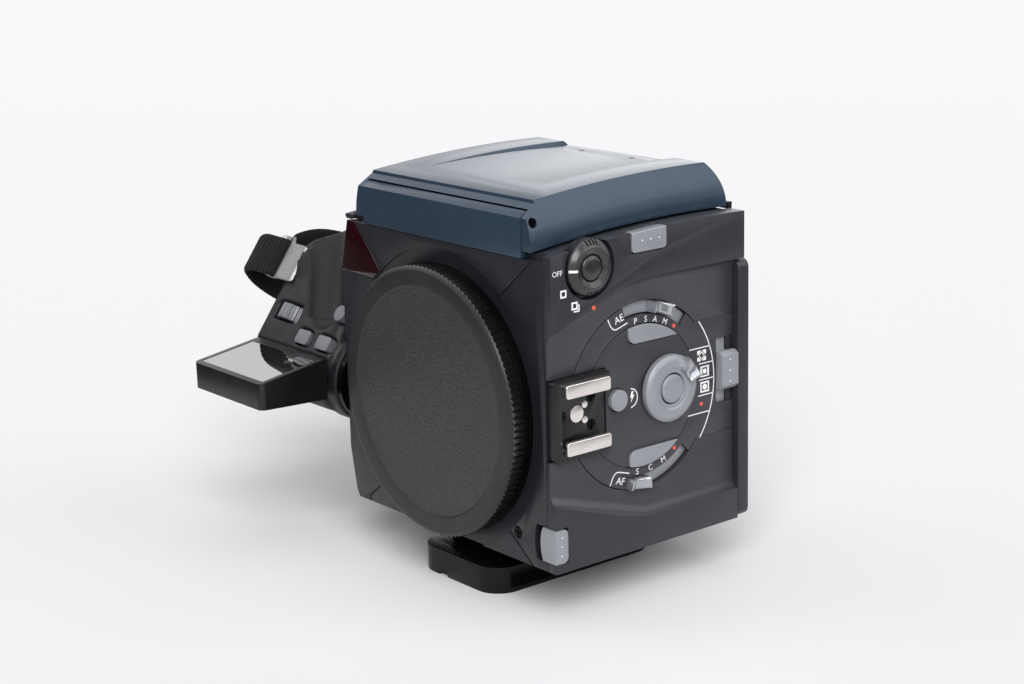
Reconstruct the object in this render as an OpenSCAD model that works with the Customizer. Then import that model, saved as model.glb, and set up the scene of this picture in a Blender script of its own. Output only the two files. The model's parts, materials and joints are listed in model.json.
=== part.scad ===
// Medium format single lens reflex camera body with folding hood, control side,
// turning hand grip and tripod plate. Front faces -Y, control side is +X, millimetres.

/* [Body] */
// Width of the body across its side covers
body_w = 99; // [96:0.5:106]
// Height of the body at the crown of its top
body_h = 93.3; // [91:0.1:98]
// Depth of the body from the front plate's face to the rear seal
body_d = 69.7; // [68:0.1:74]
// Radius of the curve of the top
crown_r = 430; // [400:5:500]
// Distance of the crown line behind the front face
crown_y = 54; // [50:0.5:58]
// Thickness of the front plate
front_t = 2.4; // [2:0.1:3]
// Thickness of the control side cover
side_t = 6; // [5.8:0.1:7]
// Thickness of the grip side cover
left_t = 2; // [1.6:0.1:2.6]
// Fit between fixed parts of the casing
fit = 0.1; // [0.05:0.05:0.2]
// Running clearance round parts that move
run = 0.3; // [0.25:0.05:0.4]

/* [Lens mount] */
// Height of the lens axis as a share of the body's height
lens_share = 0.4427; // [0.43:0.0001:0.46]
// Body left under the mount ring
ring_edge = 1.6; // [1.2:0.1:3]
// Radial width of the mount ring
ring_w = 7.7; // [7:0.1:9]
// How far the mount ring stands in front of the front plate
ring_out = 2; // [1.6:0.1:2.6]
// Width of the round land in the front plate round the mount ring
land_w = 4.6; // [3:0.1:5]

/* [Body cap] */
// How far the body cap stands out past the mount ring
cap_over = 0.5; // [0.3:0.1:1]
// Thickness of the body cap
cap_t = 4.6; // [4:0.1:6]
// Width of the raised rim of the cap
cap_rim = 5.4; // [4:0.1:7]
// Number of knurls on the cap's edge
cap_knurls = 132; // [60:4:160]

/* [Control side] */
// Depth of the scalloped recess
scoop_d = 2.2; // [1.8:0.1:2.6]
// Distance of the control disc's centre behind the shoe
disc_back = 13.5; // [12.5:0.1:14]
// Height of the control disc's centre as a share of the body's height
disc_share_z = 0.4791; // [0.47:0.0001:0.49]
// Radius of the control disc's pocket as a share of the depth behind its centre
disc_share_r = 0.784; // [0.76:0.0001:0.79]
// Thickness of the control disc
disc_t = 2.8; // [2.5:0.1:3]
// Width of the ring channel that guides the two levers
lever_w = 3.8; // [3.4:0.1:4.2]
// Radius of the metering knob
knob_r = 9.9; // [9:0.1:10.5]
// Radius of the drive dial
dial_r = 8; // [7:0.1:8.3]
// Distance of the drive dial's axis behind the front face
dial_y = 14; // [13:0.1:15]
// Drop of the dial's axis below the crown
dial_drop = 8; // [7.5:0.1:9]
// Press travel of the buttons
press = 1; // [0.8:0.1:1.2]

/* [Hot shoe] */
// Gap between the two rails
shoe_gap = 12.5; // [12.4:0.1:12.8]
// Width of the slot under the rails
shoe_slot = 18.7; // [18.6:0.1:19]
// Depth of the slot under the rails
shoe_deep = 2.1; // [2:0.05:2.3]
// Length of the rails
shoe_len = 16.2; // [15:0.1:17]
// Width of one rail
rail_w = 3.9; // [3.7:0.1:4.2]

/* [Hood] */
// Half width of the hood at its foot
hood_half = 41.2; // [40.5:0.1:42]
// Height of the closed hood above the body
hood_h = 13.1; // [12.5:0.1:15]
// Radius of the rounded cheeks of the lid
cheek_r = 24; // [22:0.5:30]
// Wall of the lid
lid_t = 1.3; // [1.2:0.1:1.5]
// Distance of the lid's pivot behind the front face
pivot_y = 2.1; // [1.8:0.1:2.4]
// Height of the lid's pivot above the hood's foot at the front
pivot_up = 8.1; // [7.8:0.1:8.6]
// Width of the lid's cheek beside the fixed front plate
cheek_w = 4.2; // [4:0.1:5]

/* [Tripod plate] */
// Width of the tripod plate
plate_w = 38; // [36:0.5:40]
// Length of the tripod plate
plate_len = 64; // [60:1:66]
// Thickness of the tripod plate
plate_t = 8; // [7:0.1:9]
// Distance of the tripod plate's front edge behind the front face
plate_y = 2; // [1:0.5:4]
// Height of the foot between body and tripod plate
foot_h = 8; // [7:0.5:9]

/* [Grip] */
// Width of the grip
grip_w = 39.2; // [38:0.1:42]
// Gap between the body's side and the grip
grip_gap = 5.3; // [5:0.1:6]
// Distance of the grip's turning axis behind the front face
grip_y = 11; // [10:0.1:12]
// Height of the grip's turning axis
grip_z = 35; // [34:0.1:36]
// Radius of the grip's turning joint
joint_r = 14.3; // [13.5:0.1:15]
// Slope of the grip's control face
face_slope = 54; // [52:0.5:56]
// Depth of the screen housing in front of the grip
screen_d = 24.4; // [22:0.1:26]
// Height of the screen housing at its front
screen_h = 8.3; // [7.8:0.1:9]
// Width of the hand strap
strap_w = 12.5; // [11:0.5:14]
// Thickness of the hand strap
strap_t = 2; // [1.8:0.1:2.4]
// How far the hand strap stands out from the grip
strap_out = 31; // [28:0.5:34]

/* [Hidden] */
$fn = 96;
half = body_w / 2;
lens_z = lens_share * body_h;
ring_r = lens_z - ring_edge;
throat_r = ring_r - ring_w;
land_r = ring_r + land_w;
cap_r = ring_r + cap_over;
cap_field_r = cap_r - cap_rim;
body_z = foot_h + plate_t;
plate_mid = plate_y + plate_len / 2;
strap_span = 28;
strap_s = 21.5;
screw_y = plate_mid + 12;
shell_r = half - side_t;
floor_x = half - scoop_d;
disc_x0 = floor_x - disc_t;
rear_gap = 1.5;
rear_t = 4.2;
rear_y = body_d + rear_gap;
floor_end = rear_y - run;
hook_x = half - 11.5;
hook_y = rear_y + 1.8;
hook_z = -1.2;
brow_y = body_d + 3.8;
brow_z = body_h - 14.3;
slab_h = body_h - 6.8;
slab_neck_z = brow_z - 0.5;
seat_drop = 0.6;
box_half = throat_r - 1;
box_y0 = front_t + 3.2;
box_wall = 3.5;
box_z0 = lens_z - box_half;
box_z1 = lens_z + box_half;
well_half = box_half - 2;
well_y0 = 9;
well_y1 = body_d - 3.7;
screen_z = body_h - 9.3;
mirror_y = body_d - 5.7;
flap_y = body_d - 4;
mirror_z = box_z1 - 1.8;
flap_z = box_z0 + 2;
glass_half = box_half - 3;
mirror_len = mirror_y - box_y0 - 1.4;
board_y0 = 12;
board_z0 = 14;
board_z1 = body_h - 17.3;
bay_w = shell_r - box_half - box_wall;
board_x = shell_r - bay_w / 3;
board_t = 0.155 * bay_w;
motor_y0 = 26;
motor_z0 = 12;
motor_z1 = body_h - 21.3;
motor_r = (half - left_t - fit - 0.9 - box_half - box_wall) / 2;
motor_x = -box_half - box_wall - motor_r;
bay_y1 = body_d - 8;
pivot_z = crown_z(0) + pivot_up;
hood_y1 = body_d + 4.8;
shade_half = hood_half - cheek_w;
shield_x = shade_half - 2;
lip_y = 4.6;
panel_y = 16;
panel_z = crown_z(panel_y) + hood_h;
panel_half = hood_half - 16.7;
panel_d = 1.4;
magn_y = body_d - 11.7;
magn_z = body_h + 6.6;
grip_x1 = -half - grip_gap;
grip_x0 = grip_x1 - grip_w;
wheel_x = grip_x0 + 9;
wheel_s = 11;
button_s = 4.5;
button_a_x = grip_x1 - 15.8;
button_b_x = grip_x1 - 4.6;
shutter_x = grip_x1 - 3.4;
shutter_s = 15.2;
face_y = -4.2;
face_z = 43.4;
screen_z0 = face_z - 11.9;
dome_y = grip_y + 15;
dome_z = face_z + 20.2;
dome_r = 14;
heel_r = 9;
sole_r = 6;
sole_z = face_z - 16.4;
chin_r = 5;
pack_in = 9;
pack_y0 = grip_y + 3;
pack_y1 = grip_y + 22;
pack_z0 = face_z - 19.4;
pack_z1 = face_z + 10.6;
pack_fit = 0.4;
door_t = 2.6;
hinge_y = pack_y1 - run - door_t / 2;
hinge_z = pack_z0 - pack_fit - door_t / 2;
dial_z = body_h - dial_drop;
shoe_y0 = 0.6;
rail_y0 = shoe_y0 + 3.4;
shoe_y1 = rail_y0 + shoe_len + 0.8;
shoe_half = shoe_slot / 2 + 2.35;
disc_y = shoe_y1 + disc_back;
disc_z = disc_share_z * body_h;
disc_r = disc_share_r * (body_d - disc_y);
shoe_z = disc_z - 1;
lane_r = disc_r - lever_w;
moon_r = lane_r - run - 2.7;
moon_chord = 0.566 * disc_r;
knob_y = disc_y + 0.355 * disc_r;
knob_z = disc_z + 0.6;
knob_top = floor_x + 3.1;
knob_a = 36;
flash_y = disc_y - 0.337 * disc_r;
flash_z = disc_z + 0.5;
strip_z0 = disc_z - 17.1;
strip_z1 = disc_z + 17.9;
lip_w = scoop_d + 1.2;
af_a0 = asin((disc_z - shoe_z + shoe_half + run) / lane_r) - 180;
knob_hole_x = floor_x + 0.2;
dial_hole_x = half - 0.25;
dial_key_r = 3.6;
shoe_floor = floor_x - 0.3;
rail_x = shoe_floor + shoe_deep;
rail_t = 1.5;
pin_y = rail_y0 + 6.4;
shoe_screws = [[rail_y0 + 11.7, shoe_z + 4.5], [rail_y0 + 11.7, shoe_z - 3.7], [rail_y0 + 1, shoe_z + 0.4]];
latch_z = disc_z + 1.6;
latch_half = 9.8;
latch_y = body_d - 5.3;
latch_grip = 5.8;
release_z0 = 3;
release_z1 = 12.8;

// Height of the body's top at a distance behind the front face
function crown_z(y) = body_h - crown_r + sqrt(crown_r * crown_r - (y - crown_y) * (y - crown_y));
// Angle of the crown's curve at a distance behind the front face
function crown_a(y) = asin((y - crown_y) / crown_r);

// Working frame: lens axis plane x 0, front face y 0, underside of the body z 0
module at_camera() translate([0, -plate_mid, body_z]) children();
// Outline drawn in y and z, pulled out along x
module side_prism(x0, x1) translate([x0, 0, 0]) rotate([90, 0, 90]) linear_extrude(x1 - x0) children();
// Outline drawn in x and z, pulled out along y
module front_prism(y0, y1) translate([0, y1, 0]) rotate([90, 0, 0]) linear_extrude(y1 - y0) children();
module side_bar(x0, x1, y, z, r) translate([x0, y, z]) rotate([0, 90, 0]) cylinder(r = r, h = x1 - x0);
module front_bar(y0, y1, x, z, r) translate([x, y0, z]) rotate([-90, 0, 0]) cylinder(r = r, h = y1 - y0);
module block(a, b) translate(a) cube(b - a);
module rounded(x0, y0, x1, y1, r) {
    translate([x0 + r, y0]) square([x1 - x0 - 2 * r, y1 - y0]);
    translate([x0, y0 + r]) square([x1 - x0, y1 - y0 - 2 * r]);
    for (x = [x0 + r, x1 - r], y = [y0 + r, y1 - r]) translate([x, y]) circle(r);
}
module wedge(r, a0, a1) polygon(concat([[0, 0]],
    [for (i = [0:6]) r * [cos(a0 + (a1 - a0) * i / 6), sin(a0 + (a1 - a0) * i / 6)]]));
module sector(r0, r1, a0, a1) intersection() {
    difference() {
        circle(r1);
        circle(r0);
    }
    wedge(1.5 * r1, a0, a1);
}
// Section drawn as radius and x, swept along the curve of the top
module crown_sweep(y0, y1) translate([0, crown_y, body_h - crown_r]) rotate([0, 90, 0])
    rotate([0, 0, 180 - crown_a(y1)]) rotate_extrude(angle = crown_a(y1) - crown_a(y0), $fn = 720) children();
// Side outline of the casing under the curve of the top
module casing_side(y0, y1, drop) intersection() {
    translate([y0, 0]) square([y1 - y0, body_h]);
    translate([crown_y, body_h - crown_r]) circle(crown_r - drop, $fn = 720);
}
module casing_brow(y0, drop) {
    casing_side(y0, body_d, drop);
    intersection() {
        casing_side(y0, brow_y, drop);
        translate([y0, slab_h + 0.4]) square([brow_y, body_h]);
    }
}
// Front outline of the casing: upright on the control side, drawn in at the grip side's ends
module casing_front(in_l, in_r, top) polygon([[half - in_r, 0], [half - in_r, top], [in_l - half + 4.2, top],
    [in_l - half + 3.7, body_h - 5.3], [in_l - half, body_h - 20.8], [in_l - half, 15.7],
    [in_l - half + 2.5, 2.3], [in_l - half + 3.7, 0]]);
module lens_round(y0, y1, r) front_bar(y0, y1, 0, lens_z, r);
module disc_at() translate([disc_y, disc_z]) children();

module body_shell() color([0.16, 0.16, 0.17]) at_camera() difference() {
    intersection() {
        side_prism(-half, shell_r) casing_brow(front_t, seat_drop);
        front_prism(0, brow_y) casing_front(left_t, side_t, body_h + 1);
    }
    block([-box_half, box_y0, box_z0], [box_half, body_d + 1, box_z1]);
    lens_round(0, front_t + 4, throat_r);
    block([-well_half, well_y0, box_z1 - 1], [well_half, well_y1, body_h]);
    block([-well_half - 2, well_y0 - 1, screen_z], [well_half + 2, well_y1 + 1, body_h]);
    for (s = [-1, 1]) pin_hole(s * (box_half + 1.2), mirror_y, mirror_z, 1.5 + run);
    for (s = [-1, 1]) pin_hole(s * (box_half + 1.2), flap_y, flap_z, 1.2 + run);
    block([box_half + box_wall, board_y0, board_z0], [shell_r + 1, bay_y1, board_z1]);
    block([-half - 1, motor_y0, motor_z0], [-box_half - box_wall, bay_y1, motor_z1]);
    block([half - 11, front_t - 1, release_z0 - run], [shell_r + 1, 4.4, release_z1 + run]);
    af_wedge(0.2);
}

module pin_hole(x, y, z, r) side_bar(x - 1.4, x + 1.4, y, z, r);

// Corner block for the lamp window, grown by a gap
module af_wedge(g) front_prism(-1, 7.5 + g) polygon([[-half - 2, body_h - 20.8 - g],
    [-half + 16.1 + g, body_h - 21.5 - g], [-half + 19.8 + g, body_h - 18.6],
    [-half + 7.4 + g, body_h - 5.3 + g], [-half - 2, body_h - 5.3 + g]]);
module af_lamp_window() color([0.25, 0.02, 0.03, 0.9]) at_camera() intersection() {
    af_wedge(0);
    front_prism(-0.1, 7.5) casing_front(0, side_t, body_h);
}

module front_plate() color([0.17, 0.17, 0.18]) at_camera() difference() {
    intersection() {
        front_prism(0, front_t - fit) casing_front(0, lip_w + 0.2, body_h - 5.4);
        side_prism(-half, half) casing_side(0, body_d, 0);
    }
    lens_round(-1, front_t + 1, ring_r + fit);
    lens_round(-1, 0.7, land_r);
    af_wedge(0.2);
    intersection() {
        block([half - 9.4, -1, release_z0 - run], [half, front_t + 1, release_z1 + run]);
        front_prism(-1, front_t + 1) translate([half + 5.6, (release_z0 + release_z1) / 2]) circle(14.9);
    }
    corner_seams();
    front_bar(-1, 0.9, half - 16.7, 8.4, 1.9);
}
module seam(x0, z0, x1, z1) translate([x0, -0.1, z0]) rotate([0, -atan2(z1 - z0, x1 - x0), 0])
    translate([0, 0, -0.3]) cube([norm([x1 - x0, z1 - z0]), 0.6, 0.6]);
module corner_seams() {
    seam(half - 22.4, body_h - 17.6, half - 7.6, body_h - 5.2);
    seam(half - 20.8, 8.3, half - 9, -1);
    seam(-half + 14.9, 5.8, -half + 9.5, 1.4);
    seam(-half + 9.5, 1.4, -half + 10.7, -0.2);
}

module left_cover() color([0.17, 0.17, 0.18]) at_camera() {
    left_skin();
    crown_sweep(0.8, body_d - 2) rounded(crown_r - 1.85, -half + 1.6, crown_r - 0.25, -half + 5.3, 0.75);
}
module left_skin() difference() {
    intersection() {
        side_prism(-half, 0) casing_brow(front_t, 0);
        front_prism(front_t, brow_y) difference() {
            casing_front(0, 0, body_h);
            casing_front(left_t - fit, -1, body_h + 1);
        }
    }
    af_wedge(0.2);
    side_bar(-half - 1, 0, grip_y, grip_z, 5 + fit);
}

module side_outline() difference() {
    casing_side(0, brow_y, 0);
    translate([floor_end, -1]) square([20, brow_z + 1]);
}
// One step of the recess's coved wall, wider by g at x
module scoop_step(x, g) translate([x, 0, 0]) {
    translate([0, disc_y, disc_z]) rotate([0, 90, 0]) cylinder(r = disc_r + g, h = 0.01, $fn = 80);
    block([0, disc_y, 12.8 - g / 2], [0.01, body_d + 8, brow_z - 3.5 + g / 2]);
    block([0, -5, 25 - g / 2], [0.01, disc_y, 63.4 + g / 2]);
}
scoop_cove = [[0, 0.9], [0.4, 3.4], [1.1, 5.6], [scoop_d, 7.1]];
module scoop() for (i = [0:2]) hull() {
    scoop_step(floor_x + scoop_cove[i][0], scoop_cove[i][1]);
    scoop_step(floor_x + scoop_cove[i + 1][0], scoop_cove[i + 1][1]);
}
module latch_slot() {
    side_prism(floor_x - 0.8, half + 1)
        rounded(latch_y - run, latch_z - latch_half, body_d + 5, latch_z + latch_half, 0.3);
    side_prism(disc_x0 - 0.01, floor_x - 0.7) rounded(latch_y - 1.3 - run, latch_z - latch_half - 5,
        body_d - 1.2 + run, latch_z + latch_half + 5, 0.3);
}
module side_cover() color([0.18, 0.18, 0.19]) at_camera() difference() {
    side_prism(shell_r, half) side_outline();
    block([shell_r - 1, -1, -1], [half - lip_w, front_t, body_h]);
    scoop();
    side_bar(disc_x0, half, disc_y, disc_z, disc_r);
    block([disc_x0, -1, shoe_z - shoe_half - fit], [half + 1, shoe_y1 + fit, shoe_z + shoe_half + fit]);
    side_bar(half - 3.6, half + 1, dial_y, dial_z, dial_r + 1);
    side_bar(shell_r - 1, half, dial_y, dial_z, 3 + run);
    hood_button(run, half - 4.2, half + 1);
    latch_slot();
    block([disc_x0, disc_y, strip_z0 - fit], [half, body_d + 3, strip_z1 + fit]);
    block([shell_r - 1, -1, release_z0 - run], [half + 1, 4.4, release_z1 + run]);
}

// Half moon in the disc: an arc outside, a straight chord and a rounded end inside
module half_moon(s, g) intersection() {
    sector(moon_chord - 3.4, moon_r + g, s > 0 ? 40 : -110, s > 0 ? 110 : -40);
    mirror([0, s > 0 ? 0 : 1]) rounded(-5 - g, moon_chord - g, 2 * disc_r, 3 * disc_r, 2.6 + g);
}
module lever_slot(s) sector(lane_r - run, disc_r + 3, s > 0 ? 49.7 : -104.3, s > 0 ? 104.3 : -48);
module control_disc() color([0.17, 0.17, 0.18]) at_camera() difference() {
    union() {
        side_bar(disc_x0, floor_x, disc_y, disc_z, disc_r - run);
        block([disc_x0, disc_y, strip_z0], [floor_x, floor_end, strip_z1]);
    }
    latch_slot();
    side_prism(floor_x - 0.3, floor_x + 1) disc_at() sector(moon_r + 0.1, moon_r + 0.35, 26, 330);
    side_prism(disc_x0 - 1, floor_x - 1.1) disc_at() difference() {
        circle(disc_r + 1);
        circle(lane_r - run);
    }
    side_prism(disc_x0 - 1, floor_x + 1) disc_at() {
        lever_slot(1);
        lever_slot(-1);
        half_moon(1, run);
        half_moon(-1, run);
    }
    side_bar(disc_x0 - 1, floor_x + 1, flash_y, flash_z, 3.1 + run);
    side_bar(disc_x0 - 1, floor_x + 1, knob_y, knob_z, 6 + run);
    block([0, -1, shoe_z - shoe_half - fit], [half + 1, shoe_y1 + fit, shoe_z + shoe_half + fit]);
}

// Lever plate in the ring channel, with its hollowed thumb nub at an angle
module lever(a0, a1, nub, w) {
    side_prism(disc_x0 + run, floor_x - 1.1 - run) disc_at() sector(lane_r, disc_r - run, a0, a1);
    difference() {
        side_prism(floor_x - 1.2 - run, floor_x + 3) disc_at()
            sector(lane_r + 0.2, disc_r - run, nub - w / 2, nub + w / 2);
        translate([floor_x + 8.2, disc_y, disc_z]) rotate([nub, 0, 0])
            translate([0, lane_r - 2, 0]) rotate([-90, 0, 0]) cylinder(r = 6.4, h = lever_w + 4);
    }
}
module ae_lever() color([0.55, 0.57, 0.6]) at_camera() lever(28, 125, 74.2, 17);
module af_lever() color([0.55, 0.57, 0.6]) at_camera() lever(af_a0, -47, -95, 17);
module moon_button(s) side_prism(disc_x0 + press + run, floor_x + 0.7) disc_at() half_moon(s, 0);
module ae_button() color([0.55, 0.57, 0.6]) at_camera() moon_button(1);
module af_button() color([0.55, 0.57, 0.6]) at_camera() moon_button(-1);
module flash_button() color([0.55, 0.57, 0.6]) at_camera() difference() {
    side_bar(disc_x0 + press + run, floor_x + 1.4, flash_y, flash_z, 3.1);
    translate([floor_x + 9, flash_y, flash_z]) sphere(8);
}

module metering_knob() color([0.55, 0.57, 0.6]) at_camera() difference() {
    union() {
        translate([floor_x + run, knob_y, knob_z]) rotate([0, 90, 0])
            rotate_extrude() knob_section(knob_top - floor_x - run, 1.3);
        side_bar(disc_x0 + run, floor_x + 1, knob_y, knob_z, 6);
        difference() {
            side_prism(knob_top - 1, knob_top + 2.1) translate([knob_y, knob_z])
                sector(5.8, knob_r, knob_a - 24, knob_a + 24);
            translate([knob_top + 6.6, knob_y, knob_z]) rotate([knob_a, 0, 0])
                translate([0, 4, 0]) rotate([-90, 0, 0]) cylinder(r = 5.9, h = knob_r);
        }
    }
    side_bar(knob_top - 0.4, knob_top + 3, knob_y, knob_z, 5.6);
    side_bar(knob_hole_x, floor_x + 4, knob_y, knob_z, 4.2 + run);
}
module knob_section(h, e) {
    square([knob_r - e, h]);
    square([knob_r, h - e]);
    translate([knob_r - e, h - e]) circle(e);
}
module metering_button() color([0.55, 0.57, 0.6]) at_camera() intersection() {
    side_bar(knob_hole_x + press + run, knob_top + 1, knob_y, knob_z, 4.2);
    translate([knob_top + 0.2 - 18, knob_y, knob_z]) sphere(18);
}

module drive_dial() color([0.14, 0.14, 0.15]) at_camera() difference() {
    union() {
        side_bar(half - 3.6 + run, half + 0.2, dial_y, dial_z, dial_r);
        translate([half + 0.2, dial_y, dial_z]) rotate([0, 90, 0])
            cylinder(r1 = dial_r, r2 = dial_r - 2.4, h = 1.7);
        side_bar(shell_r + run, half - 3, dial_y, dial_z, 3);
    }
    side_bar(dial_hole_x, half + 3, dial_y, dial_z, dial_key_r + run);
    translate([half + 1, dial_y, dial_z]) rotate([0, 90, 0])
        cylinder(r1 = dial_key_r + 0.2, r2 = dial_r - 2.2, h = 1);
    for (g = [-90, 0, 90], i = [-1.5:1.5]) translate([half + 0.4, dial_y, dial_z]) rotate([g + i * 9, 0, 0])
        translate([0, dial_r - 1.5, -0.3]) cube([3, 4, 0.6]);
}
module dial_button() color([0.2, 0.2, 0.21]) at_camera() intersection() {
    side_bar(dial_hole_x + press / 2 + run, half + 3, dial_y, dial_z, dial_key_r);
    translate([half + 1.6 - 14, dial_y, dial_z]) sphere(14);
}

// Block of the hood's release button at the top edge, grown by a gap
module hood_button(g, x0, x1) side_prism(x0, x1) intersection() {
    rounded(29.4 - g, body_h - 6.5 - g, 42.4 + g, body_h + 6, 1.2);
    casing_side(0, body_d, g > 0 ? -5 : 0);
}
module hood_release() color([0.55, 0.57, 0.6]) at_camera() hood_button(0, half - 4.2 + press + run, half + 0.5);

module back_latch() color([0.55, 0.57, 0.6]) at_camera() {
    side_prism(disc_x0 + run, floor_x - 0.8 - run) rounded(latch_y - 1.3, latch_z - latch_half - 1,
        body_d - 1.2, latch_z + latch_half + 1, 0.2);
    side_prism(floor_x - 0.9 - run, floor_x + 0.4)
        rounded(latch_y, latch_z - latch_grip, body_d - 1.2, latch_z + latch_grip, 0.3);
    difference() {
        side_prism(floor_x + 0.3, floor_x + 2.4)
            rounded(latch_y, latch_z - latch_grip, body_d + 1.3, latch_z + latch_grip, 0.6);
        for (s = [-1, 1]) translate([floor_x + 2.4, latch_y - 2.7, latch_z + s * latch_grip]) rotate([0, 45, 0])
            translate([-0.9, 0, -0.9]) cube([1.8, 12, 1.8]);
    }
}

module lens_release() color([0.55, 0.57, 0.6]) at_camera() intersection() {
    block([half - 6.4, -0.4, release_z0], [half + 0.3, 4.1, release_z1]);
    front_prism(-1, 5) translate([half + 5.6, (release_z0 + release_z1) / 2]) circle(12);
    side_prism(half - 8, half + 1) rounded(-5, release_z0, 4.1, release_z1, 1.6);
}

module shoe_frame() color([0.12, 0.12, 0.13]) at_camera() difference() {
    side_prism(disc_x0, rail_x) rounded(shoe_y0, shoe_z - shoe_half, shoe_y1, shoe_z + shoe_half, 1.4);
    block([0, -1, 0], [half - lip_w, front_t, body_h]);
    block([shoe_floor, rail_y0 - 0.6, shoe_z - shoe_slot / 2],
        [rail_x + 1, shoe_y1 + 1, shoe_z + shoe_slot / 2]);
    for (z = [-2.2, 2.2]) side_bar(shoe_floor - 0.5, rail_x, pin_y + 2.9, shoe_z + z + 0.4, 1 + fit);
    side_bar(shoe_floor - 0.5, rail_x, pin_y, shoe_z + 0.4, 2.4 + fit);
    for (p = shoe_screws) side_bar(shoe_floor - 0.8, rail_x, p[0], p[1], 1.5 + fit);
}
module shoe_rails() color([0.9, 0.87, 0.85]) at_camera() for (s = [-1, 1]) side_prism(rail_x, rail_x + rail_t)
    translate([0, shoe_z + s * (shoe_gap + rail_w) / 2])
        rounded(rail_y0, -rail_w / 2, rail_y0 + shoe_len, rail_w / 2, 0.8);
module shoe_spring() color([0.8, 0.78, 0.76]) at_camera() side_prism(shoe_floor, rail_x - 0.5)
    translate([rail_y0, shoe_z - shoe_slot / 2])
        polygon([[0, 0], [11, 0.1], [11, 0.5], [5, 1], [0, 0.4]]);
module shoe_contacts() color([0.9, 0.87, 0.85]) at_camera() {
    side_bar(shoe_floor - 0.5, shoe_floor + 0.2, pin_y, shoe_z + 0.4, 2.4);
    for (z = [-2.2, 2.2]) side_bar(shoe_floor - 0.5, shoe_floor + 0.2, pin_y + 2.9, shoe_z + z + 0.4, 1);
}
module screw_head(r, h) difference() {
    cylinder(r = r, h = h);
    for (a = [0, 90]) rotate([0, 0, a]) translate([-r, -0.25, h - 0.4]) cube([2 * r, 0.5, 1]);
}
module cover_screws() color([0.1, 0.1, 0.1]) at_camera() {
    for (p = shoe_screws) translate([shoe_floor - 0.8, p[0], p[1]]) rotate([0, 90, 0]) screw_head(1.5, 0.8);
    translate([half - 16.7, 0.9, 8.4]) rotate([90, 0, 0]) screw_head(1.8, 0.8);
}

module lens_mount_ring() color([0.75, 0.75, 0.77]) at_camera() difference() {
    lens_round(-ring_out, front_t, ring_r);
    lens_round(-ring_out - 1, front_t + 1, throat_r);
    lens_round(-ring_out - 1, -ring_out + 1.4, cap_r - 2.8);
}
module knurl_outline() polygon([for (i = [0:2 * cap_knurls - 1]) let (r = cap_r - (i % 2) * 0.5)
    r * [cos(180 * i / cap_knurls), sin(180 * i / cap_knurls)]]);
module at_cap() at_camera() translate([0, -ring_out - 0.4, lens_z]) rotate([90, 0, 0]) children();
module body_cap() color([0.13, 0.13, 0.135]) at_cap() difference() {
    union() {
        linear_extrude(cap_t - 0.7) knurl_outline();
        translate([0, 0, cap_t - 0.7]) cylinder(r1 = cap_r - 0.8, r2 = cap_r - 1.4, h = 0.7);
        translate([0, 0, -1.4]) difference() {
            cylinder(r = cap_r - 3.1, h = 2);
            translate([0, 0, -1]) cylinder(r = cap_r - 4.6, h = 4);
        }
    }
    translate([0, 0, cap_t - 0.6]) cylinder(r = cap_field_r, h = 1);
    translate([0, 0, -0.5]) cylinder(r = cap_field_r - 2, h = cap_t - 1.6);
}

module focusing_screen() color([0.8, 0.85, 0.85, 0.6]) at_camera()
    block([-well_half - 1.8, well_y0 - 0.8, screen_z], [well_half + 1.8, well_y1 + 0.8, screen_z + 2.4]);

// Place of the mirror's plane: hinge line at the rear, sloping down to the front
module at_mirror() translate([0, mirror_y, mirror_z]) rotate([45, 0, 0]) children();
module mirror_frame() color([0.2, 0.2, 0.2]) at_camera() at_mirror() {
    difference() {
        block([-box_half + 1.5, -mirror_len, -1.3], [box_half - 1.5, 0, 0.2]);
        block([-glass_half - 0.2, -mirror_len + 1.2, -0.2], [glass_half + 0.2, -4, 1]);
    }
    side_bar(-box_half - 2.2, box_half + 2.2, 0, 0, 1.5);
}
module mirror_glass() color([0.8, 0.82, 0.85]) at_camera() at_mirror()
    block([-glass_half, -mirror_len + 1.4, -0.2], [glass_half, -4.2, 1.5]);
module light_flap() color([0.1, 0.1, 0.1]) at_camera() {
    block([-box_half + 0.8, flap_y - 0.4, flap_z], [box_half - 0.8, flap_y + 0.6, flap_z + 28]);
    side_bar(-box_half - 2.2, box_half + 2.2, flap_y, flap_z, 1.2);
}
module main_board() color([0.05, 0.25, 0.12]) at_camera() {
    block([board_x, board_y0 + 2, board_z0 + 2], [board_x + board_t, bay_y1 - 2, board_z1 - 2]);
    for (z = [board_z0 + 10, board_z0 + 30, board_z1 - 16])
        block([board_x - 0.2 * bay_w, board_y0 + 10, z], [board_x, board_y0 + 22, z + 9]);
    for (y = [board_y0 + 4, bay_y1 - 6], z = [board_z0 + 4, board_z1 - 6])
        side_bar(board_x + board_t - 0.3, shell_r, y, z, 1.5);
}
module mirror_motor() color([0.6, 0.6, 0.62]) at_camera() {
    front_bar(motor_y0 + 4, bay_y1 - 6, motor_x, motor_z0 + 2 * motor_r, motor_r);
    front_bar(motor_y0 + 2, motor_y0 + 4, motor_x, motor_z0 + 2 * motor_r, 0.27 * motor_r);
    front_bar(motor_y0, motor_y0 + 2, motor_x, motor_z0 + 2 * motor_r, 0.67 * motor_r);
    block([motor_x - 2.5, motor_y0 + 8, motor_z0], [motor_x + 2.5, bay_y1 - 10, motor_z0 + 1.2 * motor_r]);
}
module af_sensor() color([0.3, 0.3, 0.32]) at_camera() {
    block([-12, box_y0 + 6.4, box_z0], [12, box_y0 + 24.4, box_z0 + 4]);
    front_bar(box_y0 + 10.4, box_y0 + 20.4, 0, box_z0 + 4, 3);
}

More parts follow.
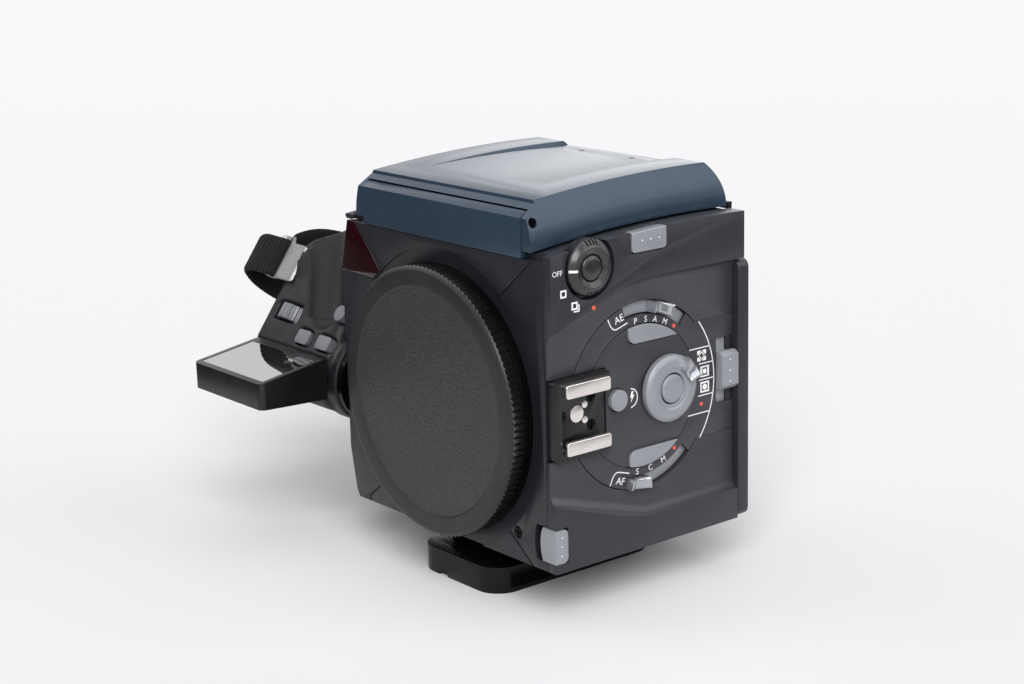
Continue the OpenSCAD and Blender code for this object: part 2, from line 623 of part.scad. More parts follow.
module rear_seal() color([0.05, 0.05, 0.05]) at_camera() front_prism(body_d, rear_y) difference() {
    translate([-half + 5.5, 2.5]) square([2 * half - 13, slab_neck_z - 4]);
    translate([-box_half - 1, box_z0 - 1]) square(2 * box_half + 2);
}
module rear_cover() color([0.2, 0.2, 0.21]) at_camera() difference() {
    front_prism(rear_y, rear_y + rear_t) {
        rounded(-half + 0.4, 0, half, slab_neck_z, 2.5);
        rounded(-half + 8, slab_neck_z - 10, half - 8, slab_h, 2.5);
    }
    front_prism(rear_y + rear_t - 0.6, rear_y + rear_t + 1) rounded(-half + 9, 9, half - 9, slab_neck_z - 9, 4);
    for (s = [-1, 1]) side_bar(s * hook_x - 5.5, s * hook_x + 5.5, hook_y, hook_z, 2.4);
}
module rear_hooks() color([0.08, 0.08, 0.08]) at_camera() for (s = [-1, 1]) translate([s * hook_x - 5, 0, 0]) {
    side_bar(0, 10, hook_y, hook_z, 2);
    block([0, body_d - 6, hook_z - 1], [10, hook_y - 0.2, 0]);
}

// Outer section of the lid: flat top and rounded cheeks, drawn as radius and x
module lid_section(r0, r1, w) intersection() {
    translate([r0, -w]) square([r1 - r0, 2 * w]);
    intersection_for(s = [-1, 1]) translate([crown_r + 0.2, s * (w - cheek_r)]) union() {
        circle(cheek_r);
        translate([-30, -cheek_r]) square([30, 2 * cheek_r]);
        translate([-30, s > 0 ? -2 * w : 0]) square([80, 2 * w]);
    }
}
module lid_outer() crown_sweep(-4, hood_y1 + 2) lid_section(crown_r + 0.2, crown_r + hood_h, hood_half);
module lid_rear_round(in) side_prism(-60, 60) {
    translate([-20, 60]) square([hood_y1 - 12 - in + 20, 70]);
    translate([hood_y1 - 18 - in, crown_z(hood_y1) + 0.5]) circle(18);
    translate([-20, 60]) square([hood_y1 - in + 20, crown_z(hood_y1) + 0.5 - 60]);
}
module lid_front_cut() side_prism(-60, 60) polygon([[run, 60], [run, pivot_z + 1.2], [lip_y, pivot_z + 4.7],
    [lip_y, 200], [200, 200], [200, 60]]);
// Panel of the lid's top that sinks towards the rear
module lid_panel() translate([0, panel_y, panel_z]) rotate([-atan(panel_d / (hood_y1 - panel_y)), 0, 0])
    translate([0, -panel_y, -panel_z]) crown_sweep(panel_y - 2, hood_y1 + 4)
        polygon([[crown_r + hood_h, -panel_half], [crown_r + hood_h + 4, -panel_half - 2],
            [crown_r + hood_h + 4, panel_half + 2], [crown_r + hood_h, panel_half]]);
module lid_lugs() for (s = [-1, 1]) difference() {
    block([s * 19.4 - 1, magn_y - 2.5, magn_z - 2],
        [s * 19.4 + 1, magn_y + 2.5, crown_z(magn_y) + hood_h - lid_t - panel_d + 0.2]);
    side_bar(s * 19.4 - 3, s * 19.4 + 3, magn_y, magn_z, 0.8 + run / 2);
}
module hood_lid() color([0.2, 0.27, 0.34]) at_camera() {
    lid_cover();
    lid_lugs();
}
module lid_cover() difference() {
    intersection() {
        lid_outer();
        lid_rear_round(0);
        lid_front_cut();
    }
    intersection() {
        crown_sweep(-4, hood_y1 + 2)
            lid_section(crown_r - 1, crown_r + hood_h - lid_t - panel_d, hood_half - lid_t);
        lid_rear_round(lid_t);
        side_prism(-60, 60) translate([lip_y - 1, 60]) square([100, 80]);
    }
    block([-shade_half - run, -1, 80], [shade_half + run, pivot_y + 5, crown_z(0) + pivot_up + 3.3]);
    lid_panel();
    for (s = [-1, 1]) translate([s * 11.3, body_d - 5, 0]) cylinder(r = 0.9, h = 300);
    side_bar(-60, 60, pivot_y, pivot_z, 1.1 + run);
}
module lid_pins() color([0.05, 0.05, 0.05]) at_camera() for (s = [0, 1]) mirror([s, 0, 0])
    side_bar(shade_half - 2, hood_half - 1.2, pivot_y, pivot_z, 1.1);
module hood_front() color([0.17, 0.24, 0.31]) at_camera() difference() {
    side_prism(-shade_half, shade_half) polygon([[0, crown_z(0) - 1.8], [0, pivot_z + 1.3],
        [2.3, pivot_z + 2.8], [3.2, pivot_z + 2.8], [3.2, crown_z(0) - 1.8]]);
    for (s = [-1, 1]) side_bar(s * shade_half - 2, s * shade_half + 2, pivot_y, pivot_z, 1.1);
    block([-shade_half - 1, front_t - fit, 0], [shade_half + 1, 9, crown_z(3.2) - seat_drop + 0.02]);
}
// Band between two heights over the curve of the top, drawn as radius and x
module crown_band(h0, h1, w) translate([crown_r + h0, -w]) square([h1 - h0, 2 * w]);
module hood_base() color([0.09, 0.09, 0.1]) at_camera() {
    difference() {
        crown_sweep(3.4, hood_y1 - lid_t - run) crown_band(-seat_drop, 0.8, shade_half);
        block([-well_half, well_y0, 60], [well_half, well_y1, 120]);
    }
    crown_sweep(well_y1 + 2, hood_y1 + 2.2) crown_band(-seat_drop, -0.1, shade_half);
    crown_sweep(hood_y1 + 0.4, hood_y1 + 2.2) crown_band(-seat_drop, 1.4, hood_half);
    for (s = [-1, 1], y = [well_y0 + 4, well_y1 - 4]) difference() {
        block([s * shield_x - 1.6, y - 1.5, crown_z(y) + 0.3], [s * shield_x + 1.6, y + 1.5, body_h + 3.4]);
        front_bar(y - 3, y + 3, s * shield_x, body_h + 2.2, 0.6 + run / 2);
    }
}
// Folding side shade: hinge bar and a sloped leaf, drawn for the right hand side
module shield(s) {
    front_bar(well_y0 + 1, well_y1 - 1, s * shield_x, body_h + 2.2, 0.6);
    translate([0, 0, body_h + 1.8]) linear_extrude(0.8) polygon([[s * (shield_x - 0.1), well_y0 + 6],
        [s * (shield_x - 0.1), well_y1 - 6], [s * 11, well_y1 - 6], [s * 11, well_y0 + 38],
        [s * (shield_x - 2), well_y0 + 8]]);
}
module left_shield() color([0.1, 0.1, 0.1]) at_camera() shield(-1);
module right_shield() color([0.1, 0.1, 0.1]) at_camera() shield(1);
module magnifier_frame() color([0.15, 0.15, 0.15]) at_camera() {
    difference() {
        block([-18, magn_y - 37, magn_z - 1.5], [18, magn_y, magn_z + 1.2]);
        translate([0, magn_y - 18.5, magn_z - 5]) cylinder(r = 15, h = 10);
    }
    side_bar(-17.9, 17.9, magn_y, magn_z, 1.5);
    for (s = [-1, 1]) side_bar(s * 19 - 1.3, s * 19 + 1.3, magn_y, magn_z, 0.8);
}
module magnifier_lens() color([0.8, 0.9, 0.95, 0.5]) at_camera() intersection() {
    translate([0, magn_y - 18.5, magn_z - 1.4]) cylinder(r = 15, h = 2.6);
    translate([0, magn_y - 18.5, magn_z + 58]) sphere(60);
}

module tripod_foot() color([0.1, 0.1, 0.1]) at_camera() difference() {
    translate([0, 0, -foot_h]) linear_extrude(foot_h) rounded(-21, plate_mid - 19, 21, plate_mid + 19, 3);
    translate([0, screw_y, -foot_h - 1]) cylinder(r = 3.1 + fit, h = foot_h);
}
module dovetail(s) translate([s * plate_w / 2, 0, -foot_h - plate_t + 3.6]) rotate([-90, 0, 0])
    linear_extrude(3 * plate_len) polygon([[s, 3], [-s * 3, 0], [s, -3.4]]);
module tripod_plate() color([0.06, 0.06, 0.065]) at_camera() difference() {
    translate([0, 0, -foot_h - plate_t]) linear_extrude(plate_t)
        rounded(-plate_w / 2, plate_y, plate_w / 2, plate_y + plate_len, 8);
    for (s = [-1, 1]) translate([0, plate_y + 6, 0]) dovetail(s);
    translate([0, screw_y, -foot_h - plate_t - 1]) cylinder(r = 3.1 + fit, h = plate_t + 2);
    translate([0, screw_y, -foot_h - plate_t - 1]) cylinder(r = 7, h = 5.5);
    for (p = [[-2.4, 4.6], [11.6, 7.6]]) translate([p[0], plate_y + p[1], -foot_h - 1.5])
        cylinder(r = 0.9, h = 3);
    block([-8, plate_y - 1, -foot_h - plate_t - 1], [-4, plate_y + 3, -foot_h - plate_t + 0.8]);
}
module plate_screw() color([0.6, 0.6, 0.6]) at_camera() translate([0, screw_y, -foot_h - plate_t + 0.5])
    difference() {
        union() {
            cylinder(r = 6.7, h = 4);
            cylinder(r = 3.1, h = plate_t + foot_h - 2);
        }
        translate([0, 0, -1]) cylinder(r = 2.2, h = 3.5, $fn = 6);
    }

// Frame of the grip's control face: x across, y up the slope, z out of the face
module on_face() translate([0, face_y, face_z]) rotate([face_slope, 0, 0]) children();
module ball(x, y, z, r) translate([x, y, z]) sphere(r, $fn = 24);
module grip_mass() hull() {
    for (x = [grip_x0 - 0.5, grip_x1 - 2]) ball(x, face_y + 2.2, face_z - 0.4, 2);
    for (x = [grip_x0 + chin_r, grip_x1 - chin_r]) ball(x, face_y + 6.2, screen_z0 - 1.9, chin_r);
    for (x = [grip_x0 + dome_r + 1, grip_x1 - dome_r]) ball(x, dome_y, dome_z, dome_r);
    for (x = [grip_x0 + heel_r + 1, grip_x1 - heel_r]) ball(x, dome_y + 12, face_z - 3.4, heel_r);
    for (x = [grip_x0 + sole_r + 2, grip_x1 - sole_r - 2]) ball(x, dome_y + 6, sole_z, sole_r);
    ball(grip_x0 - 0.5, face_y + 15.7, face_z + 18.2, 2);
}
module grip_shell() color([0.13, 0.13, 0.14]) at_camera() difference() {
    union() {
        grip_mass();
        side_bar(grip_x1 - 6, -half - 2.4, grip_y, grip_z, joint_r);
        on_face() block([grip_x0, strap_s, strap_t - strap_span - 0.5],
            [grip_x0 + 14, strap_s + strap_w, 2 * strap_t - strap_span + 3]);
    }
    block([grip_x0 - 5, face_y - 30, 0], [grip_x1 + 1, face_y, face_z + 0.6]);
    side_bar(grip_x1 - 12, 0, grip_y, grip_z, 5 + run);
    on_face() translate([grip_x1 - 12.6, 15, 2.6]) rotate([0, 0, 33]) rotate([-90, 0, 0])
        cylinder(r = 8, h = 60);
    on_face() translate([grip_x1 - 11.2, 16.4, 3.4]) sphere(8.6);
    on_face() block([wheel_x - 6.9, wheel_s - 3, -12], [wheel_x + 6.9, wheel_s + 3, 6]);
    for (x = [button_a_x, button_b_x]) on_face() translate([x, button_s, -4])
        linear_extrude(20) rounded(-3.4 - run, -2.3 - run, 3.4 + run, 2.3 + run, 1.2);
    on_face() translate([shutter_x, shutter_s, -9]) cylinder(r = 2.6 + run, h = 30);
    block([grip_x0 + pack_in, pack_y0, sole_z - 17], [grip_x1 - pack_in, pack_y1, pack_z1]);
    side_bar(grip_x0 + pack_in - 1.5, grip_x1 - pack_in + 1.5, hinge_y, hinge_z, 0.7 + run / 2);
    on_face() block([grip_x0 - 4, strap_s - 0.6, -1.8], [grip_x0 + 6, strap_s + strap_w + 0.6, 0]);
}
module grip_hub() color([0.3, 0.3, 0.3]) at_camera() {
    side_bar(-half - 2, -half, grip_y, grip_z, joint_r - 0.6);
    side_bar(grip_x1 - pack_in + 1, -half + left_t, grip_y, grip_z, 5);
}
module screen_housing() color([0.1, 0.1, 0.11]) at_camera() difference() {
    intersection() {
        side_prism(grip_x0, grip_x1) polygon([[face_y, screen_z0 - 1], [face_y, face_z + 0.2],
            [face_y - screen_d, screen_z0 + screen_h], [face_y - screen_d, screen_z0]]);
        translate([0, 0, screen_z0 - 10]) linear_extrude(60)
            rounded(grip_x0, face_y - screen_d, grip_x1, face_y + 10, 2);
    }
    on_screen() block([grip_x0 + 1.8, -screen_d + 1.8, -1], [grip_x1 - 1.8, -3.2, 3]);
}
// Frame of the screen's face: x across, y along the slope, z out
module on_screen() translate([0, face_y, face_z + 0.2])
    rotate([atan2(face_z + 0.2 - screen_z0 - screen_h, screen_d), 0, 0]) children();
module screen_glass() color([0.7, 0.7, 0.72]) at_camera() on_screen()
    block([grip_x0 + 1.8 + fit, -screen_d + 1.8 + fit, -1], [grip_x1 - 1.8 - fit, -3.2 - fit, -0.1]);
module at_wheel() at_camera() on_face() translate([wheel_x, wheel_s, -4.4]) rotate([90, 0, 0]) children();
module control_wheel() color([0.5, 0.53, 0.56]) at_wheel()
    difference() {
        translate([0, 0, -2.5]) cylinder(r = 6.4, h = 5);
        translate([0, 0, -4]) cylinder(r = 1.1 + run, h = 8);
        for (i = [0:17]) rotate([0, 0, 20 * i]) translate([6.5, 0, -4]) cylinder(r = 0.55, h = 8, $fn = 20);
    }
module wheel_axle() color([0.6, 0.6, 0.6]) at_wheel()
    translate([0, 0, -3]) cylinder(r = 1.1, h = 6);
module face_button(x) on_face() translate([x, button_s, -4 + press + run]) linear_extrude(5.4 - press - run)
    rounded(-3.4, -2.3, 3.4, 2.3, 1);
module grip_button_a() color([0.55, 0.57, 0.6]) at_camera() face_button(button_a_x);
module grip_button_b() color([0.55, 0.57, 0.6]) at_camera() face_button(button_b_x);
module grip_release() color([0.6, 0.62, 0.65]) at_camera() on_face()
    translate([shutter_x, shutter_s, -9 + press + run]) cylinder(r = 2.6, h = 8.6);
module battery_pack() color([0.2, 0.2, 0.25]) at_camera()
    block([grip_x0 + pack_in + pack_fit, pack_y0 + pack_fit, pack_z0],
        [grip_x1 - pack_in - pack_fit, pack_y1 - pack_fit, pack_z1]);
module battery_door() color([0.12, 0.12, 0.13]) at_camera() {
    block([grip_x0 + pack_in + run, pack_y0 + run, hinge_z - door_t / 2],
        [grip_x1 - pack_in - run, hinge_y, hinge_z + door_t / 2]);
    side_bar(grip_x0 + pack_in + run, grip_x1 - pack_in - run, hinge_y, hinge_z, door_t / 2);
    side_bar(grip_x0 + pack_in - 1.2, grip_x1 - pack_in + 1.2, hinge_y, hinge_z, 0.7);
}
module strap_buckle() color([0.62, 0.61, 0.58]) at_camera() on_face() translate([grip_x0, 0, 0]) difference() {
    block([-13, strap_s - 0.6, -1.8], [6, strap_s + strap_w + 0.6, 0]);
    block([-10, strap_s - 0.1, -3], [-6.5, strap_s + strap_w + 0.1, 3]);
}
// Side outline of the strap's loop, shrunk by its thickness for the inside
module strap_loop(g) {
    translate([-strap_out + strap_span / 2, strap_span / 2 - strap_t]) circle(strap_span / 2 - g);
    translate([-strap_out + strap_span / 2, g - strap_t])
        square([strap_out - strap_span / 2, strap_span - 2 * g]);
}
module at_strap() at_camera() on_face() translate([grip_x0, strap_s, 0]) rotate([-90, 0, 0]) children();
module hand_strap() color([0.05, 0.05, 0.05]) at_strap()
    linear_extrude(strap_w) difference() {
        strap_loop(0);
        strap_loop(strap_t);
        translate([-7, -strap_t - 1]) square([8, strap_t + 2]);
    }

body_shell();
front_plate();
left_cover();
side_cover();
control_disc();
rear_seal();
rear_cover();
rear_hooks();
lens_mount_ring();
body_cap();
af_lamp_window();
focusing_screen();
mirror_frame();
mirror_glass();
light_flap();
main_board();
mirror_motor();
af_sensor();
cover_screws();
shoe_frame();
shoe_rails();
shoe_spring();
shoe_contacts();
drive_dial();
dial_button();
hood_release();
ae_lever();
ae_button();
af_lever();
af_button();
metering_knob();
metering_button();
flash_button();
back_latch();
lens_release();
hood_base();
hood_front();
hood_lid();
lid_pins();
left_shield();
right_shield();
magnifier_frame();
magnifier_lens();
tripod_foot();
tripod_plate();
plate_screw();
grip_hub();
grip_shell();
screen_housing();
screen_glass();
control_wheel();
wheel_axle();
grip_button_a();
grip_button_b();
grip_release();
battery_pack();
battery_door();
strap_buckle();
hand_strap();
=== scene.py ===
import json
import math

import bpy
from mathutils import Matrix, Vector


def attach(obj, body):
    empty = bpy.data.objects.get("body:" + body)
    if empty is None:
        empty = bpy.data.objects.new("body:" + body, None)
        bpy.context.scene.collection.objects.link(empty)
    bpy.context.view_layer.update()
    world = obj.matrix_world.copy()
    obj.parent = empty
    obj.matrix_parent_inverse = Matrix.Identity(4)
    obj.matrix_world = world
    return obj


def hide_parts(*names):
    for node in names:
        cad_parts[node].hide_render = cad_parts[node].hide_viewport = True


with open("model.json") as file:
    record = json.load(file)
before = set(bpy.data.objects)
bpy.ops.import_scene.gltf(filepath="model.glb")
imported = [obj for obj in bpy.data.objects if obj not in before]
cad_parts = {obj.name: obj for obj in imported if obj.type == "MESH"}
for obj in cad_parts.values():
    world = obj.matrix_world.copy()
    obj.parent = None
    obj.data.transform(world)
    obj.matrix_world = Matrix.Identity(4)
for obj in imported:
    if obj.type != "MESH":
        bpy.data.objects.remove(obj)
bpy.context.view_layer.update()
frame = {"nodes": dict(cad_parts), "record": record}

scene = bpy.context.scene
MM = 0.001

# Places on the camera body: x 0 is the lens axis plane, y 0 the front face, z 0 the underside, in millimetres
FRONT_Y = -34.0
FOOT_Z = 16.0
SIDE_X = 49.5
FLOOR_X = 47.3
DISC_Y, DISC_Z, DISC_R = 34.5, 44.7, 27.6
FACE_Y, FACE_Z, FACE_SLOPE = -4.2, 43.4, math.radians(54)
SLOPE_UP = Vector((0, math.cos(FACE_SLOPE), math.sin(FACE_SLOPE)))
SLOPE_OUT = Vector((0, -math.sin(FACE_SLOPE), math.cos(FACE_SLOPE)))


def at(x, y, z):
    """Point of the camera body, in metres of the shared frame"""
    return Vector((x, y + FRONT_Y, z + FOOT_Z)) * MM


def at_face(x, s, n):
    """Point of the grip's control face: x across, s up the slope, n out of the face"""
    c, d = math.cos(FACE_SLOPE), math.sin(FACE_SLOPE)
    return at(x, FACE_Y + s * c - n * d, FACE_Z + s * d + n * c)


def polar(a, r, y=DISC_Y, z=DISC_Z):
    """Place (y, z) at an angle and a radius round an axis along x"""
    return (y + r * math.cos(math.radians(a)), z + r * math.sin(math.radians(a)))


# Modelling steps
NODE_MERGE, TURN_MERGE = 0.002, 0.001
FLAT_ANGLE = math.radians(0.03)
CORNER_STEPS = 4
FACING = 0.5
QUARTER = math.radians(90)


def only(obj):
    """Leaves just this object selected and active"""
    bpy.ops.object.select_all(action="DESELECT")
    obj.select_set(True)
    bpy.context.view_layer.objects.active = obj


def edit_all(obj):
    """Opens the object in edit mode with all of it selected"""
    only(obj)
    bpy.ops.object.mode_set(mode="EDIT")
    bpy.ops.mesh.select_all(action="SELECT")


def close_edit():
    """Turns every face outwards and goes back to object mode"""
    bpy.ops.mesh.select_all(action="SELECT")
    bpy.ops.mesh.normals_make_consistent(inside=False)
    bpy.ops.object.mode_set(mode="OBJECT")


def apply_all(obj):
    """Applies every modifier of the object in turn"""
    only(obj)
    for mod in list(obj.modifiers):
        bpy.ops.object.modifier_apply(modifier=mod.name)


def soften(obj, width, steps=2, angle=35):
    """Rounds the edges that are sharper than an angle by a width in millimetres"""
    mod = obj.modifiers.new("rounded_edges", "BEVEL")
    mod.width = width * MM
    mod.segments = steps
    mod.limit_method = "ANGLE"
    mod.angle_limit = math.radians(angle)
    mod.use_clamp_overlap = True
    mod.loop_slide = False
    apply_all(obj)


def thicken(obj, wall):
    """Gives a sheet a wall in millimetres, half on each side"""
    mod = obj.modifiers.new("wall", "SOLIDIFY")
    mod.thickness = wall * MM
    mod.offset = 0.0
    apply_all(obj)


def cut_away(obj, tool):
    """Cuts the tool's shape out of the object and removes the tool"""
    mod = obj.modifiers.new("cut", "BOOLEAN")
    mod.operation = "DIFFERENCE"
    mod.solver = "EXACT"
    mod.object = tool
    apply_all(obj)
    bpy.data.objects.remove(tool)


def shade(obj, angle=32):
    """Smooth shading up to an angle in degrees"""
    only(obj)
    bpy.ops.object.shade_smooth_by_angle(angle=math.radians(angle))


def new_mesh(name, mesh):
    """Object for a mesh, at the origin"""
    obj = bpy.data.objects.new(name, mesh)
    scene.collection.objects.link(obj)
    return obj


def from_points(name, points, faces, edges=()):
    """Object from points in metres and the faces or edges between them"""
    mesh = bpy.data.meshes.new(name)
    mesh.from_pydata(points, edges, faces)
    return new_mesh(name, mesh)


def grid_faces(cols, rows):
    """Faces of a grid of points that are listed column by column"""
    step = rows + 1
    corners = (0, step, step + 1, 1)
    return [[i * step + j + k for k in corners] for i in range(cols) for j in range(rows)]


def join(first, *others):
    """Joins the other objects into the first"""
    only(first)
    for other in others:
        other.select_set(True)
    bpy.ops.object.join()
    return first


def node_copy(node, name):
    """Merged copy of a CAD node's mesh, flat faces joined"""
    obj = new_mesh(name, frame["nodes"][node].data.copy())
    edit_all(obj)
    bpy.ops.mesh.remove_doubles(threshold=NODE_MERGE * MM)
    bpy.ops.mesh.dissolve_limited(angle_limit=FLAT_ANGLE)
    bpy.ops.object.mode_set(mode="OBJECT")
    return obj


# Finished pieces
BODY_OF = {n: b for b, ns in frame["record"]["behaviour"]["bodies"].items() for n in ns}
FINISH = {}


def paint(obj, finish):
    """One finish all over"""
    obj.data.materials.clear()
    obj.data.materials.append(FINISH[finish])
    for poly in obj.data.polygons:
        poly.material_index = 0


def stand_in(obj, node, finish):
    """The piece takes a CAD node's place, on the node's own body"""
    paint(obj, finish)
    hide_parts(node)
    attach(obj, BODY_OF[node])


def dress(node, finish, edge, steps):
    """CAD node with softened edges"""
    obj = node_copy(node, node + "_finished")
    soften(obj, edge, steps)
    shade(obj)
    stand_in(obj, node, finish)
    return obj


def add_piece(obj, body, finish):
    """The piece is added to a body beside the CAD nodes"""
    paint(obj, finish)
    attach(obj, body)


# Finishes: noise scales are per metre
TONE_SCALE, TONE_SPAN = 90.0, (0.35, 0.65)
GLOSS_SCALE, GLOSS_SPAN = 240.0, (0.3, 0.7)
GRIT_DETAIL, GRIT_DEPTH, COAT_ROUGH = 2.0, 0.05, 0.12


def finish_base(name):
    """New finish with its node tree, its shader and the piece's own coordinates"""
    mat = bpy.data.materials.new(name)
    mat.use_nodes = True
    tree = mat.node_tree
    FINISH[name] = mat
    return tree, tree.nodes["Principled BSDF"], tree.nodes.new("ShaderNodeTexCoord")


def set_sockets(shader, values):
    """Sets plain values of a shader"""
    for socket, value in values.items():
        shader.inputs[socket].default_value = value


def grain(tree, place, scale, detail=3.0, stretch=None):
    """Noise on the piece's own coordinates"""
    noise = tree.nodes.new("ShaderNodeTexNoise")
    set_sockets(noise, {"Scale": scale, "Detail": detail})
    source = place.outputs["Object"]
    if stretch:
        mapping = tree.nodes.new("ShaderNodeMapping")
        mapping.inputs["Scale"].default_value = stretch
        tree.links.new(source, mapping.inputs["Vector"])
        source = mapping.outputs["Vector"]
    tree.links.new(source, noise.inputs["Vector"])
    return noise


def tint(tree, shader, noise, low, high):
    """Colour that drifts between two close tones"""
    ramp = tree.nodes.new("ShaderNodeValToRGB")
    for stop, position, colour in zip(ramp.color_ramp.elements, TONE_SPAN, (low, high)):
        stop.position = position
        stop.color = (*colour, 1)
    tree.links.new(noise.outputs["Fac"], ramp.inputs["Fac"])
    tree.links.new(ramp.outputs["Color"], shader.inputs["Base Color"])


def gloss_drift(tree, shader, noise, low, high):
    """Roughness that drifts between two values"""
    span = tree.nodes.new("ShaderNodeMapRange")
    set_sockets(span, {"From Min": GLOSS_SPAN[0], "From Max": GLOSS_SPAN[1], "To Min": low, "To Max": high})
    tree.links.new(noise.outputs["Fac"], span.inputs["Value"])
    tree.links.new(span.outputs["Result"], shader.inputs["Roughness"])


def relief(tree, shader, height, strength, depth):
    """Fine bumps of a depth in millimetres"""
    bump = tree.nodes.new("ShaderNodeBump")
    set_sockets(bump, {"Strength": strength, "Distance": depth * MM})
    tree.links.new(height, bump.inputs["Height"])
    tree.links.new(bump.outputs["Normal"], shader.inputs["Normal"])


def coated(name, low, high, rough, grit, bump, depth=GRIT_DEPTH, metal=0.0, coat=0.0, level=0.5,
           stretch=None, drift=TONE_SCALE):
    """Painted, moulded or plated finish: two close tones, drifting gloss and a fine grain"""
    tree, shader, place = finish_base(name)
    tint(tree, shader, grain(tree, place, drift), low, high)
    gloss_drift(tree, shader, grain(tree, place, GLOSS_SCALE), *rough)
    fine = grain(tree, place, grit, GRIT_DETAIL, stretch)
    relief(tree, shader, fine.outputs["Fac"], bump, depth)
    set_sockets(shader, {"Metallic": metal, "Specular IOR Level": level, "Coat Weight": coat,
                         "Coat Roughness": COAT_ROUGH})


# Paints and plastics of the casing
coated("charcoal_paint", (0.0185, 0.019, 0.0245), (0.022, 0.0225, 0.028),
       rough=(0.34, 0.42), grit=3600.0, bump=0.16, level=0.46)
# Lighter copy of the casing paint for the recess floor: painted light against the shade in the recess
coated("recess_lit_charcoal", (0.033, 0.0335, 0.040), (0.037, 0.0375, 0.044),
       rough=(0.34, 0.42), grit=3600.0, bump=0.16, level=0.46)
# Darker copy of the casing paint for the front plate: painted shade, so the front reads darker than the sides
coated("front_shaded_charcoal", (0.0125, 0.013, 0.017), (0.015, 0.0155, 0.0195),
       rough=(0.34, 0.42), grit=3600.0, bump=0.16, level=0.44)
coated("blue_hood_paint", (0.031, 0.052, 0.083), (0.034, 0.056, 0.089),
       rough=(0.25, 0.262), grit=5200.0, bump=0.03, metal=0.2, coat=0.22, level=0.26)
coated("cap_grain", (0.014, 0.014, 0.0165), (0.034, 0.034, 0.038),
       rough=(0.36, 0.46), grit=2100.0, bump=1.0, depth=0.3, drift=1500.0)
coated("cap_rim_face", (0.016, 0.016, 0.0185), (0.019, 0.019, 0.0215),
       rough=(0.40, 0.46), grit=3400.0, bump=0.12, level=0.36)
coated("cap_rim_black", (0.004, 0.004, 0.0047), (0.0055, 0.0055, 0.0063),
       rough=(0.22, 0.28), grit=3400.0, bump=0.10)
coated("grip_rubber", (0.009, 0.009, 0.0112), (0.0112, 0.0112, 0.0136),
       rough=(0.36, 0.44), grit=3000.0, bump=0.2, level=0.2)
coated("black_moulding", (0.0055, 0.0055, 0.0065), (0.0072, 0.0072, 0.0083),
       rough=(0.26, 0.34), grit=3800.0, bump=0.12, level=0.42)

# Keys and dials
coated("grey_key_paint", (0.262, 0.273, 0.298), (0.280, 0.291, 0.317),
       rough=(0.33, 0.39), grit=4200.0, bump=0.03, metal=0.2)
coated("grey_nub_gloss", (0.40, 0.413, 0.44), (0.43, 0.443, 0.47),
       rough=(0.20, 0.24), grit=4200.0, bump=0.02, metal=0.75)
coated("grip_key_paint", (0.115, 0.12, 0.132), (0.13, 0.135, 0.148),
       rough=(0.28, 0.34), grit=4200.0, bump=0.03, metal=0.1)
coated("dial_black", (0.019, 0.019, 0.022), (0.024, 0.024, 0.027),
       rough=(0.18, 0.24), grit=3800.0, bump=0.08, level=0.6)

# Metals
coated("shoe_nickel", (0.80, 0.755, 0.725), (0.86, 0.81, 0.78),
       rough=(0.24, 0.34), grit=1500.0, bump=0.12, metal=1.0, stretch=(1.0, 0.12, 1.0))
coated("black_anodised", (0.0014, 0.0014, 0.0017), (0.0022, 0.0022, 0.0026),
       rough=(0.22, 0.28), grit=3000.0, bump=0.06, level=0.10)
coated("plate_black", (0.0035, 0.0035, 0.0042), (0.005, 0.005, 0.006),
       rough=(0.24, 0.30), grit=3000.0, bump=0.06, level=0.2)
coated("mount_steel", (0.52, 0.52, 0.53), (0.60, 0.60, 0.61),
       rough=(0.2, 0.3), grit=1400.0, bump=0.08, metal=1.0)
coated("buckle_steel", (0.19, 0.187, 0.184), (0.235, 0.23, 0.226),
       rough=(0.34, 0.46), grit=1600.0, bump=0.2, metal=0.6)

# Seals, inner parts, inks and the red window
coated("dark_seal", (0.006, 0.006, 0.006), (0.009, 0.009, 0.009), rough=(0.7, 0.8), grit=2600.0, bump=0.3)
coated("board_green", (0.012, 0.09, 0.035), (0.018, 0.12, 0.05), rough=(0.35, 0.45), grit=900.0, bump=0.2)
coated("cell_grey", (0.05, 0.05, 0.055), (0.07, 0.07, 0.075), rough=(0.4, 0.5), grit=2000.0, bump=0.1)
coated("white_print", (0.80, 0.80, 0.80), (0.84, 0.84, 0.84), rough=(0.5, 0.6), grit=4000.0, bump=0.05)
coated("red_print", (0.78, 0.085, 0.035), (0.82, 0.10, 0.045), rough=(0.45, 0.55), grit=4000.0, bump=0.05)
coated("lamp_red", (0.012, 0.0010, 0.0022), (0.018, 0.0014, 0.0032),
       rough=(0.07, 0.10), grit=600.0, bump=0.01, level=0.6)


def display_glass():
    """Glossy display under glass"""
    tone_scale = 60.0
    tree, shader, place = finish_base("display_glass")
    tint(tree, shader, grain(tree, place, tone_scale), (0.020, 0.021, 0.020), (0.026, 0.027, 0.026))
    set_sockets(shader, {"Roughness": 0.03, "IOR": 4.4, "Coat Weight": 1.0, "Coat Roughness": 0.02,
                         "Coat IOR": 2.1})


def clear_glass(name, colour, rough, ior=1.5):
    """Glass that light passes through"""
    gloss_scale, gloss_step = 300.0, 0.02
    tree, shader, place = finish_base(name)
    gloss_drift(tree, shader, grain(tree, place, gloss_scale), rough, rough + gloss_step)
    set_sockets(shader, {"Base Color": (*colour, 1), "Transmission Weight": 1.0, "IOR": ior})


def mirror_silver():
    """Front-silvered mirror"""
    tone_scale = 40.0
    tree, shader, place = finish_base("mirror_silver")
    tint(tree, shader, grain(tree, place, tone_scale), (0.82, 0.83, 0.85), (0.86, 0.87, 0.88))
    set_sockets(shader, {"Metallic": 1.0, "Roughness": 0.03})


